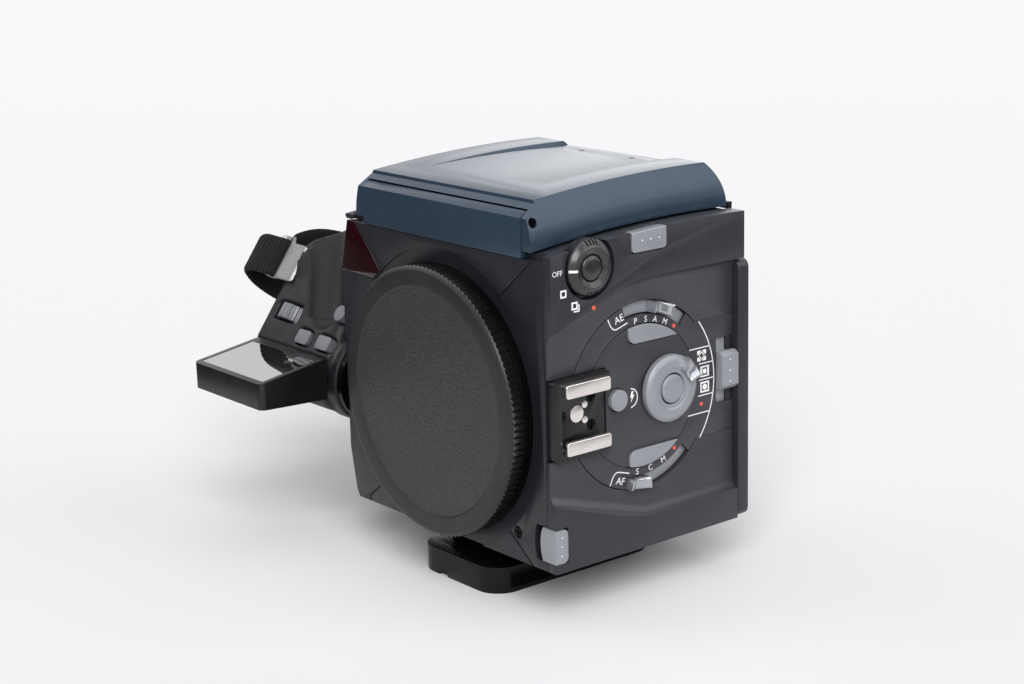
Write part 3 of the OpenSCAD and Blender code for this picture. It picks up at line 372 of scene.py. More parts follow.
def woven_webbing():
    """Black woven tape with a close weave"""
    thread_scale, weave_scale, fuzz_scale, fuzz_detail = 1400.0, 1500.0, 2600.0, 4.0
    weave_share, weave_bump, weave_depth = 0.7, 0.9, 0.22
    tree, shader, place = finish_base("woven_webbing")
    tint(tree, shader, grain(tree, place, thread_scale), (0.003, 0.003, 0.0036), (0.009, 0.009, 0.010))
    weave = tree.nodes.new("ShaderNodeTexVoronoi")
    weave.inputs["Scale"].default_value = weave_scale
    tree.links.new(place.outputs["Object"], weave.inputs["Vector"])
    fuzz = grain(tree, place, fuzz_scale, fuzz_detail)
    mix = tree.nodes.new("ShaderNodeMath")
    mix.operation = "MULTIPLY_ADD"
    mix.inputs[1].default_value = weave_share
    tree.links.new(weave.outputs["Distance"], mix.inputs[0])
    tree.links.new(fuzz.outputs["Fac"], mix.inputs[2])
    relief(tree, shader, mix.outputs["Value"], weave_bump, weave_depth)
    gloss_drift(tree, shader, fuzz, 0.75, 0.9)
    set_sockets(shader, {"Specular IOR Level": 0.16, "Sheen Weight": 0.03})


display_glass()
clear_glass("view_glass", (0.93, 0.96, 0.95), 0.02)
clear_glass("ground_glass", (0.86, 0.88, 0.86), 0.32)
mirror_silver()
woven_webbing()

# Visible casing and controls: finish, record slot, rounded edge and its steps
DRESSED = [
    ("front_plate", "front_shaded_charcoal", "body_paint", 0.18, 2),
    ("left_cover", "charcoal_paint", "body_paint", 0.3, 2),
    ("side_cover", "charcoal_paint", "body_paint", 0.3, 2),
    ("control_disc", "charcoal_paint", "body_paint", 0.12, 2),
    ("rear_cover", "charcoal_paint", "body_paint", 0.4, 3),
    ("shoe_frame", "black_moulding", "black_plastic", 0.6, 3),
    ("shoe_rails", "shoe_nickel", "bright_metal", 0.22, 3),
    ("shoe_contacts", "shoe_nickel", "bright_metal", 0.08, 2),
    ("hood_release", "grey_key_paint", "grey_key", 0.4, 3),
    ("back_latch", "grey_key_paint", "grey_key", 0.3, 3),
    ("lens_release", "grey_key_paint", "grey_key", 0.4, 3),
    ("hood_front", "blue_hood_paint", "hood_paint", 0.3, 3),
    ("hood_lid", "blue_hood_paint", "hood_paint", 0.35, 3),
    ("tripod_foot", "black_anodised", "black_metal", 0.4, 3),
    ("tripod_plate", "plate_black", "black_metal", 0.5, 3),
    ("screen_housing", "black_moulding", "black_plastic", 0.6, 4),
    ("control_wheel", "grip_key_paint", "grey_key", 0.15, 2),
    ("grip_release", "grip_key_paint", "grey_key", 0.5, 3),
    ("battery_door", "black_moulding", "black_plastic", 0.3, 2),
    ("af_lamp_window", "lamp_red", "red_window", 0.1, 2),
    ("rear_hooks", "black_anodised", "black_metal", 0.3, 2),
    ("cover_screws", "black_anodised", "black_metal", 0.06, 2),
    ("plate_screw", "mount_steel", "steel", 0.2, 2),
]
for node, finish, slot, edge, steps in DRESSED:
    dress(node, finish, edge, steps)

# The bottom of the control side's recess gets a lighter copy of the casing paint: painted light that lifts
# the shade in the recess
RECESS_DEPTH = 1.0


def paint_recess_light():
    """Lighter copy of the casing paint, as painted light, on the faces that look out from the bottom of the
    recess
    """
    for node in ("side_cover", "control_disc"):
        obj = bpy.data.objects[node + "_finished"]
        obj.data.materials.append(FINISH["recess_lit_charcoal"])
        for poly in obj.data.polygons:
            if poly.normal.x > FACING and poly.center.x < (SIDE_X - RECESS_DEPTH) * MM:
                poly.material_index = 1


paint_recess_light()

# Pieces that keep their CAD shape, most of them behind the casing
INSIDE = {
    "body_shell": "charcoal_paint", "rear_seal": "dark_seal", "focusing_screen": "ground_glass",
    "mirror_frame": "black_anodised", "mirror_glass": "mirror_silver", "light_flap": "dark_seal",
    "main_board": "board_green", "mirror_motor": "mount_steel", "af_sensor": "cell_grey",
    "shoe_spring": "shoe_nickel", "hood_base": "black_moulding", "lid_pins": "black_anodised",
    "left_shield": "dark_seal", "right_shield": "dark_seal", "magnifier_frame": "black_moulding",
    "magnifier_lens": "view_glass", "grip_hub": "black_anodised", "screen_glass": "display_glass",
    "wheel_axle": "mount_steel", "battery_pack": "cell_grey",
}
for node, finish in INSIDE.items():
    paint(frame["nodes"][node], finish)

# Grip shell: the moulded body smoothed into one skin, its shoulder filled out and its key wells cut clean
SKIN_CELL, EASE_SHARE, EASE_PASSES = 0.6, 0.5, 7
SHOULDER, SHOULDER_R = 3.2, 14.0
SHOULDER_AT = at(-92.5, 17.0, 68.0)
SHOULDER_WAY = Vector((-0.45, -0.5, 0.74)).normalized()
GRIP_KEYS = ("grip_button_a", "grip_button_b")
KEY_GAP, KEY_TRAVEL, KEY_OUT = 0.3, 1.0, 4.0
KEY_STAND, KEY_EDGE = 0.8, 0.4


def key_room(node):
    """Space that a pressed key of the grip needs, with a gap round it"""
    shifts = [(Vector((a * KEY_GAP, 0, 0)) + SLOPE_UP * b * KEY_GAP + SLOPE_OUT * n) * MM
              for a in (-1, 1) for b in (-1, 1) for n in (-KEY_TRAVEL - KEY_GAP, KEY_OUT)]
    points = [v.co + shift for v in frame["nodes"][node].data.vertices for shift in shifts]
    room = from_points(node + "_room", points, [])
    edit_all(room)
    bpy.ops.mesh.convex_hull(join_triangles=False)
    close_edit()
    return room


def grip_shell():
    """Smooth moulded skin over the grip"""
    shell = node_copy("grip_shell", "grip_shell_moulded")
    mod = shell.modifiers.new("skin", "REMESH")
    mod.mode = "VOXEL"
    mod.voxel_size = SKIN_CELL * MM
    mod = shell.modifiers.new("ease", "SMOOTH")
    mod.factor = EASE_SHARE
    mod.iterations = EASE_PASSES
    apply_all(shell)
    push = SHOULDER_WAY * SHOULDER * MM
    for v in shell.data.vertices:
        near = max(0.0, 1 - ((v.co - SHOULDER_AT).length / (SHOULDER_R * MM)) ** 2)
        v.co += push * near ** 2
    cut_away(shell, join(*[key_room(node) for node in (*GRIP_KEYS, "grip_release")]))
    shade(shell, angle=60)
    stand_in(shell, "grip_shell", "grip_rubber")


def face_keys():
    """Flat-topped keys that stand a little out of the control face"""
    level = SLOPE_OUT.dot(at_face(0, 0, KEY_STAND))
    for node in GRIP_KEYS:
        key = node_copy(node, node + "_finished")
        for v in key.data.vertices:
            v.co -= SLOPE_OUT * max(0.0, SLOPE_OUT.dot(v.co) - level)
        soften(key, KEY_EDGE, steps=3)
        shade(key)
        stand_in(key, node, "grip_key_paint")


grip_shell()
face_keys()

# Hand strap: cross-ribbed tape, a folded tail in front of the buckle and a run behind the grip
TAPE_W, TAPE_T, TAPE_GAP, TAPE_CELLS = 13.4, 1.7, 0.24, 16
RIB_PITCH, RIB_DEEP = 1.9, 0.22
SELVEDGE, SELVEDGE_THIN = 0.8, 0.5
BUCKLE_S = 20.4

# Tail's middle line on the control face: x across, up from the buckle's middle, out of the face
TAIL_ROUTE = [
    (-99.6, 0, -0.9), (-99.7, 0, 1.2), (-101.2, 0, 2.9), (-106.0, 0, 3.3), (-112.0, 0, 3.2),
    (-117.5, -0.4, 1.2), (-121.4, -1.0, -3.2), (-122.2, -2.0, -8.2), (-118.4, -3.0, -12.6),
    (-110.0, -3.8, -15.4), (-101.0, -4.2, -17.5), (-92.0, -4.4, -19.5)]

# Back run's middle line: x, y, z on the camera body
BACK_ROUTE = [
    (-99.0, 14.0, 65.4), (-102.4, 18.0, 66.5), (-103.6, 25.0, 66.9), (-103.0, 31.0, 66.2),
    (-100.0, 36.5, 64.5), (-94.0, 39.6, 63.0), (-88.6, 39.6, 61.8), (-85.4, 37.0, 61.0), (-84.2, 33.0, 60.6)]


def eased_line(points, gap):
    """Smooth line through points, with a point about every gap"""
    line = []
    ends = [points[0]] + points + [points[-1]]
    for a, b, c, d in zip(ends, ends[1:], ends[2:], ends[3:]):
        steps = max(2, round(math.dist(b, c) / gap))
        for i in range(steps):
            t = i / steps
            line.append([0.5 * (2 * q + (r - p) * t + (2 * p - 5 * q + 4 * r - e) * t ** 2
                                + (3 * q - p - 3 * r + e) * t ** 3) for p, q, r, e in zip(a, b, c, d)])
    return line + [list(points[-1])]


def tape_ring(spot, across, out, dip):
    """Points round the tape at one spot: over its top and back underneath"""
    ring = []
    for side in (1, -1):
        for k in range(TAPE_CELLS + 1):
            u = k / TAPE_CELLS if side > 0 else 1 - k / TAPE_CELLS
            edge = min(u, 1 - u) * TAPE_W
            thin = SELVEDGE_THIN * max(0.0, 1 - edge / SELVEDGE) ** 2
            lift = side * (TAPE_T / 2 - dip - thin) * MM
            ring.append(spot + across * ((u - 0.5) * TAPE_W * MM) + out * lift)
    return ring


def tape(name, spots, across):
    """Woven tape along a smooth line, ribs lying across it"""
    line = [Vector(q) for q in eased_line([tuple(v) for v in spots], TAPE_GAP * MM)]
    points = []
    run = 0.0
    for i, spot in enumerate(line):
        before, after = line[max(i - 1, 0)], line[min(i + 1, len(line) - 1)]
        run += (spot - before).length / MM
        dip = RIB_DEEP * (1 - math.cos(2 * math.pi * run / RIB_PITCH)) / 2
        points += tape_ring(spot, across, (after - before).cross(across).normalized(), dip)
    ring = 2 * (TAPE_CELLS + 1)
    faces = [list(range(ring)), list(range(len(points) - ring, len(points)))]
    for first in range(0, len(points) - ring, ring):
        for k in range(ring):
            m = (k + 1) % ring
            faces.append([first + k, first + m, first + ring + m, first + ring + k])
    obj = from_points(name, points, faces)
    edit_all(obj)
    close_edit()
    shade(obj, angle=50)
    return obj


def hand_strap():
    """Both runs of the strap as one piece"""
    middle = BUCKLE_S + TAPE_W / 2
    tail = tape("hand_strap_woven", [at_face(x, middle + s, n) for x, s, n in TAIL_ROUTE], SLOPE_UP)
    back = tape("strap_back_run", [at(*spot) for spot in BACK_ROUTE], Vector((0, 0, 1)))
    stand_in(join(tail, back), "hand_strap", "woven_webbing")


hand_strap()

# Buckle: bent slider plate, its edge turned up under the tape, with a round ear at the top
BUCKLE_TOP, BUCKLE_T, BUCKLE_EDGE, BUCKLE_CORNER = 33.2, 0.9, 0.25, 1.1
BUCKLE_GAP, BUCKLE_ROWS = 0.3, 14
EAR, EAR_X, EAR_EASE = 2.2, -96.6, 2.4

# Bends of the plate: x across the control face, out of the face
BUCKLE_BENDS = [
    (-104.7, 2.5), (-103.6, 1.3), (-102.2, 0.8), (-100.2, 0.9), (-98.8, 1.7), (-97.0, 1.9), (-93.0, 1.8),
    (-91.2, 1.6), (-90.1, 0.7)]


def strap_buckle():
    """Sheet over the bends, thickened and rounded"""
    line = eased_line(BUCKLE_BENDS, BUCKLE_GAP)
    x0, x1 = BUCKLE_BENDS[0][0], BUCKLE_BENDS[-1][0]
    points = []
    for x, n in line:
        t = min(1.0, max(0.0, (EAR_X - x) / EAR_EASE))
        inset = max(0.0, 1 - min(x - x0, x1 - x) / BUCKLE_CORNER)
        cut = BUCKLE_CORNER * (1 - math.sqrt(1 - inset ** 2))
        low = BUCKLE_S + cut
        top = BUCKLE_TOP + EAR * t * t * (3 - 2 * t) - cut
        points += [at_face(x, low + (top - low) * k / BUCKLE_ROWS, n) for k in range(BUCKLE_ROWS + 1)]
    plate = from_points("strap_buckle_bent", points, grid_faces(len(line) - 1, BUCKLE_ROWS))
    edit_all(plate)
    close_edit()
    thicken(plate, BUCKLE_T)
    soften(plate, BUCKLE_EDGE, steps=3, angle=50)
    shade(plate, angle=45)
    stand_in(plate, "strap_buckle", "buckle_steel")


strap_buckle()


# Turned and pressed pieces of the control side
def lathe(name, profile, y, z, edge, steps=96, forward=False):
    """Profile of (x, r) points turned round an axis along x or forward, its corners rounded first"""
    spots = [(x * MM, r * MM, 0) for x, r in profile]
    obj = from_points(name, spots, [], [(i, i + 1) for i in range(len(spots) - 1)])
    mod = obj.modifiers.new("rounded_corners", "BEVEL")
    mod.affect = "VERTICES"
    mod.width = edge * MM
    mod.segments = CORNER_STEPS
    mod.use_clamp_overlap = True
    mod = obj.modifiers.new("turning", "SCREW")
    mod.axis = "X"
    mod.steps = mod.render_steps = steps
    mod.use_merge_vertices = True
    mod.merge_threshold = TURN_MERGE * MM
    apply_all(obj)
    edit_all(obj)
    bpy.ops.mesh.remove_doubles(threshold=TURN_MERGE * MM)
    close_edit()
    turn = Matrix.Rotation(-QUARTER, 4, "Z") if forward else Matrix.Identity(4)
    obj.data.transform(Matrix.Translation(at(0, y, z)) @ turn)
    return obj


def flute(obj, hub, across, reach, step, share):
    """Draws every other step of the wall outside a reach in, by a share of its radius"""
    for v in obj.data.vertices:
        da, dz = v.co[across] - hub[across], v.co.z - hub.z
        if math.hypot(da, dz) > reach * MM:
            k = 1 - share * (round(math.degrees(math.atan2(dz, da)) / step) % 2)
            v.co[across] = hub[across] + da * k
            v.co.z = hub.z + dz * k


def pull_out(obj, reach):
    """Extrudes flat faces along x by a reach in millimetres"""
    edit_all(obj)
    bpy.ops.mesh.extrude_region_move(TRANSFORM_OT_translate={"value": (reach * MM, 0, 0)})
    close_edit()


def key_block(name, outline, x0, x1, edge):
    """Outline of (y, z) pulled out along x, its rims rounded"""
    obj = from_points(name, [at(x0, y, z) for y, z in outline], [list(range(len(outline)))])
    pull_out(obj, x1 - x0)
    soften(obj, edge, steps=3, angle=60)
    return obj


def thumb_nub(name, axis, radii, angles, root, top, hollow):
    """Nub between two radii and two angles, from root to top, with a hollow across its top"""
    rows, cols = 12, 28
    rim_u, rim_v, rim_drop = 0.12, 0.16, 0.45
    points = []
    for i in range(cols + 1):
        u = i / cols
        a = angles[0] + (angles[1] - angles[0]) * u
        for j in range(rows + 1):
            v = j / rows
            rim = min(1.0, min(u, 1 - u) / rim_u, min(v, 1 - v) / rim_v)
            level = top - hollow * (1 - (2 * u - 1) ** 2) - rim_drop * (1 - rim) ** 2
            points.append(at(level, *polar(a, radii[0] + (radii[1] - radii[0]) * v, *axis)))
    nub = from_points(name, points, grid_faces(cols, rows))
    edit_all(nub)
    bpy.ops.mesh.region_to_loop()
    bpy.ops.mesh.extrude_edges_move()
    bpy.ops.object.mode_set(mode="OBJECT")
    for vert in nub.data.vertices:
        if vert.select:
            vert.co.x = root * MM
    bpy.ops.object.mode_set(mode="EDIT")
    bpy.ops.mesh.edge_face_add()
    close_edit()
    return nub


def gloss_nub(obj, first):
    """Glossier finish on the faces of a joined nub"""
    obj.data.materials.append(FINISH["grey_nub_gloss"])
    for poly in obj.data.polygons[first:]:
        poly.material_index = 1


# Levers of the ring channel: first and last angle of the plate, and the angle of the nub
LEVERS = (("ae_lever", 28, 125, 74.2), ("af_lever", -146.5, -47, -95))
LANE_R, LANE_GAP = 23.8, 0.3
LEVER_BACK, LEVER_FACE, LEVER_EDGE = 44.8, 45.9, 0.1
NUB_TOP, NUB_WIDTH, NUB_HOLLOW, NUB_GAP = 50.3, 16.6, 1.5, 0.2
KEY_BACK = 45.8


def sector_outline(r0, r1, a0, a1, n=40):
    """Stretch of a ring between two radii and two angles"""
    steps = [a0 + (a1 - a0) * i / n for i in range(n + 1)]
    return [polar(a, r1) for a in steps] + [polar(a, r0) for a in reversed(steps)]


def lever(node, a0, a1, middle):
    """Plate that runs in the ring channel, with its thumb nub"""
    outer = DISC_R - LANE_GAP
    outline = sector_outline(LANE_R, outer, a0, a1)
    plate = key_block(node + "_finished", outline, LEVER_BACK, LEVER_FACE, LEVER_EDGE)
    nub = thumb_nub(node + "_nub", (DISC_Y, DISC_Z), (LANE_R + NUB_GAP, outer),
                    (middle - NUB_WIDTH / 2, middle + NUB_WIDTH / 2), KEY_BACK, NUB_TOP, NUB_HOLLOW)
    shade(plate)
    shade(nub, angle=40)
    first = len(plate.data.polygons)
    stand_in(join(plate, nub), node, "grey_key_paint")
    gloss_nub(plate, first)


# Half-moon keys and the flash key
MOON_R, MOON_CHORD, MOON_STAND = 20.8, 15.62, 0.7
MOON_END, MOON_END_R = -5.0, 2.6
FLASH_Y, FLASH_Z, FLASH_R, FLASH_TOP = 25.2, 45.2, 3.1, 48.7
ROUND_KEY_EDGE = 0.35


def half_moon(side):
    """Arc outside, straight chord and a rounded end inside"""
    arc_steps, end_steps = 30, 8
    end_a = math.degrees(math.acos(MOON_END / MOON_R))
    far_a = math.degrees(math.asin(MOON_CHORD / MOON_R))
    points = [polar(far_a + (end_a - far_a) * i / arc_steps, MOON_R, 0, 0) for i in range(arc_steps + 1)]
    corner = (MOON_END + MOON_END_R, MOON_CHORD + MOON_END_R)
    points += [polar(180 + 90 * i / end_steps, MOON_END_R, *corner) for i in range(end_steps + 1)]
    return [(DISC_Y + y, DISC_Z + side * z) for y, z in points]


def half_moon_key(node, side):
    """Half-moon key above or below the middle of the disc"""
    key = key_block(node + "_finished", half_moon(side), KEY_BACK, FLOOR_X + MOON_STAND, ROUND_KEY_EDGE)
    shade(key, angle=40)
    stand_in(key, node, "grey_key_paint")


def flash_key():
    """Round key with a shallow dish"""
    profile = [(KEY_BACK, 0), (KEY_BACK, FLASH_R), (FLASH_TOP, FLASH_R), (FLASH_TOP - 0.25, FLASH_R - 1.5),
               (FLASH_TOP - 0.3, 0)]
    key = lathe("flash_button_finished", profile, FLASH_Y, FLASH_Z, ROUND_KEY_EDGE)
    shade(key, angle=40)
    stand_in(key, "flash_button", "grey_key_paint")


half_moon_key("ae_button", 1)
half_moon_key("af_button", -1)
for node, first_a, last_a, nub_a in LEVERS:
    lever(node, first_a, last_a, nub_a)
flash_key()

# Metering knob: a rolled ring with a thumb nub, and a key in its middle
KNOB_Y, KNOB_Z, KNOB_R, KNOB_TOP = 44.3, 45.3, 9.9, 50.4
KNOB_BACK, KNOB_SEAT, KNOB_NECK, KNOB_BORE, KNOB_EDGE = 44.8, 47.6, 6.0, 4.6, 0.5
KNOB_NUB_A, KNOB_NUB_R, KNOB_NUB_SINK, KNOB_NUB_STAND, KNOB_NUB_HOLLOW = (15, 61), 5.8, 1.2, 2.1, 1.3
KNOB_PROFILE = [
    (KNOB_BACK, KNOB_BORE), (KNOB_BACK, KNOB_NECK), (KNOB_SEAT, KNOB_NECK), (KNOB_SEAT, KNOB_R),
    (KNOB_TOP - 1.0, KNOB_R), (KNOB_TOP - 0.25, KNOB_R - 1.2), (KNOB_TOP, KNOB_R - 2.6),
    (KNOB_TOP - 0.1, KNOB_BORE + 1.6), (KNOB_TOP - 0.45, KNOB_BORE + 1.1), (KNOB_TOP - 0.5, KNOB_BORE),
    (KNOB_SEAT + 0.4, KNOB_BORE), (KNOB_SEAT, KNOB_BORE - 0.1)]
DOME_MID, DOME_LOW = 0.17, 0.02


def domed_key(back, top, r, shoulder, crown):
    """Profile of a round key with a low dome"""
    dome = [(top - DOME_MID, crown), (top - DOME_LOW, crown / 2), (top, 0)]
    return [(back, 0), (back, r), (top - shoulder, r)] + dome


METER_KEY_PROFILE = domed_key(back=48.8, top=50.62, r=4.2, shoulder=0.42, crown=3.0)


def metering_knob():
    """Knob and its key"""
    ring = lathe("metering_knob_finished", KNOB_PROFILE, KNOB_Y, KNOB_Z, KNOB_EDGE, steps=128)
    nub = thumb_nub("metering_nub", (KNOB_Y, KNOB_Z), (KNOB_NUB_R, KNOB_R), KNOB_NUB_A,
                    KNOB_TOP - KNOB_NUB_SINK, KNOB_TOP + KNOB_NUB_STAND, KNOB_NUB_HOLLOW)
    shade(ring, angle=50)
    shade(nub, angle=45)
    first = len(ring.data.polygons)
    stand_in(join(ring, nub), "metering_knob", "grey_key_paint")
    gloss_nub(ring, first)
    key = lathe("metering_button_finished", METER_KEY_PROFILE, KNOB_Y, KNOB_Z, ROUND_KEY_EDGE)
    shade(key, angle=50)
    stand_in(key, "metering_button", "grey_key_paint")


metering_knob()

# Drive dial: fluted wall, a coned top with finger slots, a printed pointer and a key in its middle
DIAL_Y, DIAL_Z, DIAL_R, DIAL_TOP = 14.0, 85.3, 8.0, 51.25
DIAL_BACK, DIAL_BORE, DIAL_EDGE = 46.2, 3.85, 0.22
FLUTE_STEP, FLUTE_SHARE, FLUTE_BAND = 2.5, 0.028, 0.35
DIAL_CONE = [(DIAL_TOP - 1.15, DIAL_R - 0.5), (DIAL_TOP - 0.35, DIAL_R - 1.6)]
DIAL_PROFILE = [
    (DIAL_BACK, DIAL_BORE + 0.05), (DIAL_BACK, DIAL_R), (SIDE_X, DIAL_R), *DIAL_CONE,
    (DIAL_TOP, DIAL_R - 2.3), (DIAL_TOP - 0.1, DIAL_BORE + 1.45), (DIAL_TOP - 0.5, DIAL_BORE + 0.75),
    (DIAL_TOP - 0.75, DIAL_BORE + 0.25), (DIAL_TOP - 0.8, DIAL_BORE), (SIDE_X - 0.1, DIAL_BORE)]
DIAL_KEY_PROFILE, DIAL_KEY_EDGE = domed_key(back=49.9, top=51.12, r=3.55, shoulder=0.62, crown=2.6), 0.3
SLOT_SIDES, SLOT_PLACES, SLOT_STEP = (-90, 0, 90), (-1.5, -0.5, 0.5, 1.5), 9
SLOT_SIZE, SLOT_X, SLOT_REACH = (2.8, 4.4, 0.5), 50.7, 0.6
POINTER_W, POINTER_LIFT = 0.72, 0.02
PRINT = 0.03


def finger_slots(axis):
    """Cutters for the slots, in three groups round the dial's edge"""
    cutters = []
    for group in SLOT_SIDES:
        for place in SLOT_PLACES:
            bpy.ops.object.select_all(action="DESELECT")
            bpy.ops.mesh.primitive_cube_add(size=1.0)
            cutter = bpy.context.object
            turn = Matrix.Rotation(math.radians(group + SLOT_STEP * place), 4, "X")
            reach = Matrix.Translation((SLOT_X * MM, (DIAL_R + SLOT_REACH) * MM, 0))
            size = Matrix.Diagonal((*[s * MM for s in SLOT_SIZE], 1))
            cutter.data.transform(Matrix.Translation(axis) @ turn @ reach @ size)
            cutters.append(cutter)
    return join(*cutters)


def dial_pointer():
    """White line down the front of the cone"""
    line = [(DIAL_TOP - 1.5, DIAL_R - 0.2), *DIAL_CONE, (DIAL_TOP - 0.03, DIAL_R - 2.25)]
    points = [at(x + POINTER_LIFT, DIAL_Y - r, DIAL_Z + side * POINTER_W / 2)
              for x, r in line for side in (-1, 1)]
    pointer = from_points("mark_dial_pointer", points, grid_faces(len(line) - 1, 1))
    edit_all(pointer)
    close_edit()
    thicken(pointer, 2 * PRINT)
    add_piece(pointer, "dial", "white_print")


def drive_dial():
    """Dial, pointer and key"""
    dial = lathe("drive_dial_finished", DIAL_PROFILE, DIAL_Y, DIAL_Z, DIAL_EDGE, steps=144)
    axis = at(0, DIAL_Y, DIAL_Z)
    flute(dial, axis, 1, DIAL_R - FLUTE_BAND, FLUTE_STEP, FLUTE_SHARE)
    cut_away(dial, finger_slots(axis))
    shade(dial, angle=40)
    stand_in(dial, "drive_dial", "dial_black")
    dial_pointer()
    key = lathe("dial_button_finished", DIAL_KEY_PROFILE, DIAL_Y, DIAL_Z, DIAL_KEY_EDGE)
    shade(key, angle=50)
    stand_in(key, "dial_button", "dial_black")


drive_dial()

# Body cap: knurled side, smooth rim, a grained field let into its face and a collar behind
CAP_R, CAP_T, CAP_Z, CAP_SEAT = 40.2, 4.6, 41.3, -2.4
CAP_FIELD, CAP_SINK, CAP_EDGE, CAP_FACE = 33.8, 0.35, 0.12, 0.6
CAP_TEETH, TOOTH, TOOTH_BAND = 132, 0.55, 0.4
COLLAR_R0, COLLAR_R1, COLLAR = CAP_R - 4.6, CAP_R - 3.1, 1.4
HOLLOW_R, HOLLOW = COLLAR_R0 - 2.8, 2.5
CAP_PROFILE = [
    (HOLLOW, 0), (HOLLOW, HOLLOW_R), (0, HOLLOW_R), (0, COLLAR_R0), (-COLLAR, COLLAR_R0),
    (-COLLAR, COLLAR_R1), (0, COLLAR_R1), (0, CAP_R - 0.7), (0.3, CAP_R), (CAP_T - 0.9, CAP_R),
    (CAP_T - 0.35, CAP_R - 0.8), (CAP_T, CAP_R - 1.5), (CAP_T, CAP_FIELD + 0.5),
    (CAP_T - CAP_SINK, CAP_FIELD), (CAP_T - CAP_SINK, 0)]


def body_cap():
    """Cap with three finishes: black side, satin rim and grained field"""
    steps = 2 * CAP_TEETH
    cap = lathe("body_cap_finished", CAP_PROFILE, CAP_SEAT, CAP_Z, CAP_EDGE, steps, forward=True)
    hub = at(0, 0, CAP_Z)
    flute(cap, hub, 0, CAP_R - TOOTH_BAND, 180 / CAP_TEETH, TOOTH / CAP_R)
    shade(cap, angle=36)
    stand_in(cap, "body_cap", "cap_rim_black")
    for finish in ("cap_rim_face", "cap_grain"):
        cap.data.materials.append(FINISH[finish])
    front = at(0, CAP_SEAT - CAP_T, 0).y
    for poly in cap.data.polygons:
        if poly.normal.y < -FACING and poly.center.y < front + CAP_FACE * MM:
            reach = math.hypot(poly.center.x - hub.x, poly.center.z - hub.z)
            poly.material_index = 2 if reach < CAP_FIELD * MM else 1


body_cap()

# Lens mount ring: bright face, blackened outer wall
RING_EDGE, RING_WALL = 0.15, CAP_R - 1.2


def mount_ring():
    """Second finish on the faces near the ring's outside"""
    ring = dress("lens_mount_ring", "mount_steel", RING_EDGE, steps=2)
    ring.data.materials.append(FINISH["black_anodised"])
    hub = at(0, 0, CAP_Z)
    for poly in ring.data.polygons:
        if math.hypot(poly.center.x - hub.x, poly.center.z - hub.z) > RING_WALL * MM:
            poly.material_index = 1


mount_ring()


# Printed marks of the body
def print_text(name, words, y, z, size, tilt, x=FLOOR_X):
    """White words on the control side"""
    bpy.ops.object.select_all(action="DESELECT")
    bpy.ops.object.text_add()
    text = bpy.context.object
    text.name = name
    text.data.body = words
    text.data.size = size * MM
    text.data.align_x = "CENTER"
    text.data.align_y = "CENTER"
    text.data.extrude = PRINT * MM / 2
    text.data.resolution_u = 4
    only(text)
    bpy.ops.object.convert(target="MESH")
    turn = Matrix.Rotation(QUARTER, 4, "Z") @ Matrix.Rotation(QUARTER, 4, "X")
    lean = Matrix.Rotation(math.radians(tilt), 4, "Z")
    text.data.transform(Matrix.Translation(at(x + PRINT / 2, y, z)) @ turn @ lean)
    text.matrix_world = Matrix.Identity(4)
    add_piece(text, "body", "white_print")


def flat_print(name, loops, x=FLOOR_X, finish="white_print"):
    """Thin printed shapes on the control side, each a closed outline of (y, z)"""
    points = []
    faces = []
    for loop in loops:
        faces.append([len(points) + i for i in range(len(loop))])
        points += [at(x, y, z) for y, z in loop]
    mark = from_points(name, points, faces)
    pull_out(mark, PRINT)
    add_piece(mark, "body", finish)


def stroke(points, w):
    """Closed outline of a line drawn with a pen of some width"""
    left, right = [], []
    for i, p in enumerate(points):
        a, b = points[max(i - 1, 0)], points[min(i + 1, len(points) - 1)]
        d = math.dist(a, b)
        nx, nz = -(b[1] - a[1]) / d * w / 2, (b[0] - a[0]) / d * w / 2
        left.append((p[0] + nx, p[1] + nz))
        right.append((p[0] - nx, p[1] - nz))
    return left + right[::-1]


def ring_arc(y, z, r, a0, a1, w, n=40):
    """Stretch of a drawn circle"""
    return stroke([polar(a0 + (a1 - a0) * i / n, r, y, z) for i in range(n + 1)], w)


def dot(y, z, r, n=20):
    """Round spot"""
    return [polar(360 * i / n, r, y, z) for i in range(n)]


def box_loop(y, z, w, h):
    """Filled box"""
    return [(y + a * w / 2, z + b * h / 2) for a, b in ((-1, -1), (1, -1), (1, 1), (-1, 1))]


def box_frame(y, z, w, h, t):
    """Box drawn as four bars of a thickness"""
    level_bars = [box_loop(y, z + s * (h - t) / 2, w, t) for s in (-1, 1)]
    upright_bars = [box_loop(y + s * (w - t) / 2, z, t, h - 2 * t) for s in (-1, 1)]
    return level_bars + upright_bars


# Letters and lines of the control disc: angles and radii are round the disc's middle
LETTER, LOCK_LETTER = 2.5, 3.0
EXPOSURE_R, EXPOSURE_LETTERS = 22.0, (("P", 95.1), ("S", 85.0), ("A", 75.5), ("M", 65.1))
FOCUS_R, FOCUS_LETTERS = 22.35, (("S", -94.9), ("C", -81.6), ("M", -68.3))
LOCK_WORDS = (("mark_exposure_lock", "AE", 109.0, 24.9, 17), ("mark_focus_lock", "AF", -109.4, 25.2, -17))
LOCK_CORNER = ((117.0, 27.2), (117.2, 24.8), (116.6, 23.8), (115.2, 23.0), (113.0, 22.7), (102.8, 22.6))
LOCK_PEN = 0.32


def lever_marks():
    """Letters beside the levers, and the outlines of their lock places"""
    for letter, a in EXPOSURE_LETTERS:
        print_text("mark_exposure_" + letter, letter, *polar(a, EXPOSURE_R), LETTER, a - 90)
    for letter, a in FOCUS_LETTERS:
        print_text("mark_focus_" + letter, letter, *polar(a, FOCUS_R), LETTER, a + 90)
    for name, words, a, r, tilt in LOCK_WORDS:
        print_text(name, words, *polar(a, r), LOCK_LETTER, tilt)
    outlines = [stroke([polar(s * a, r) for a, r in LOCK_CORNER], LOCK_PEN) for s in (1, -1)]
    flat_print("mark_lock_outlines", outlines)


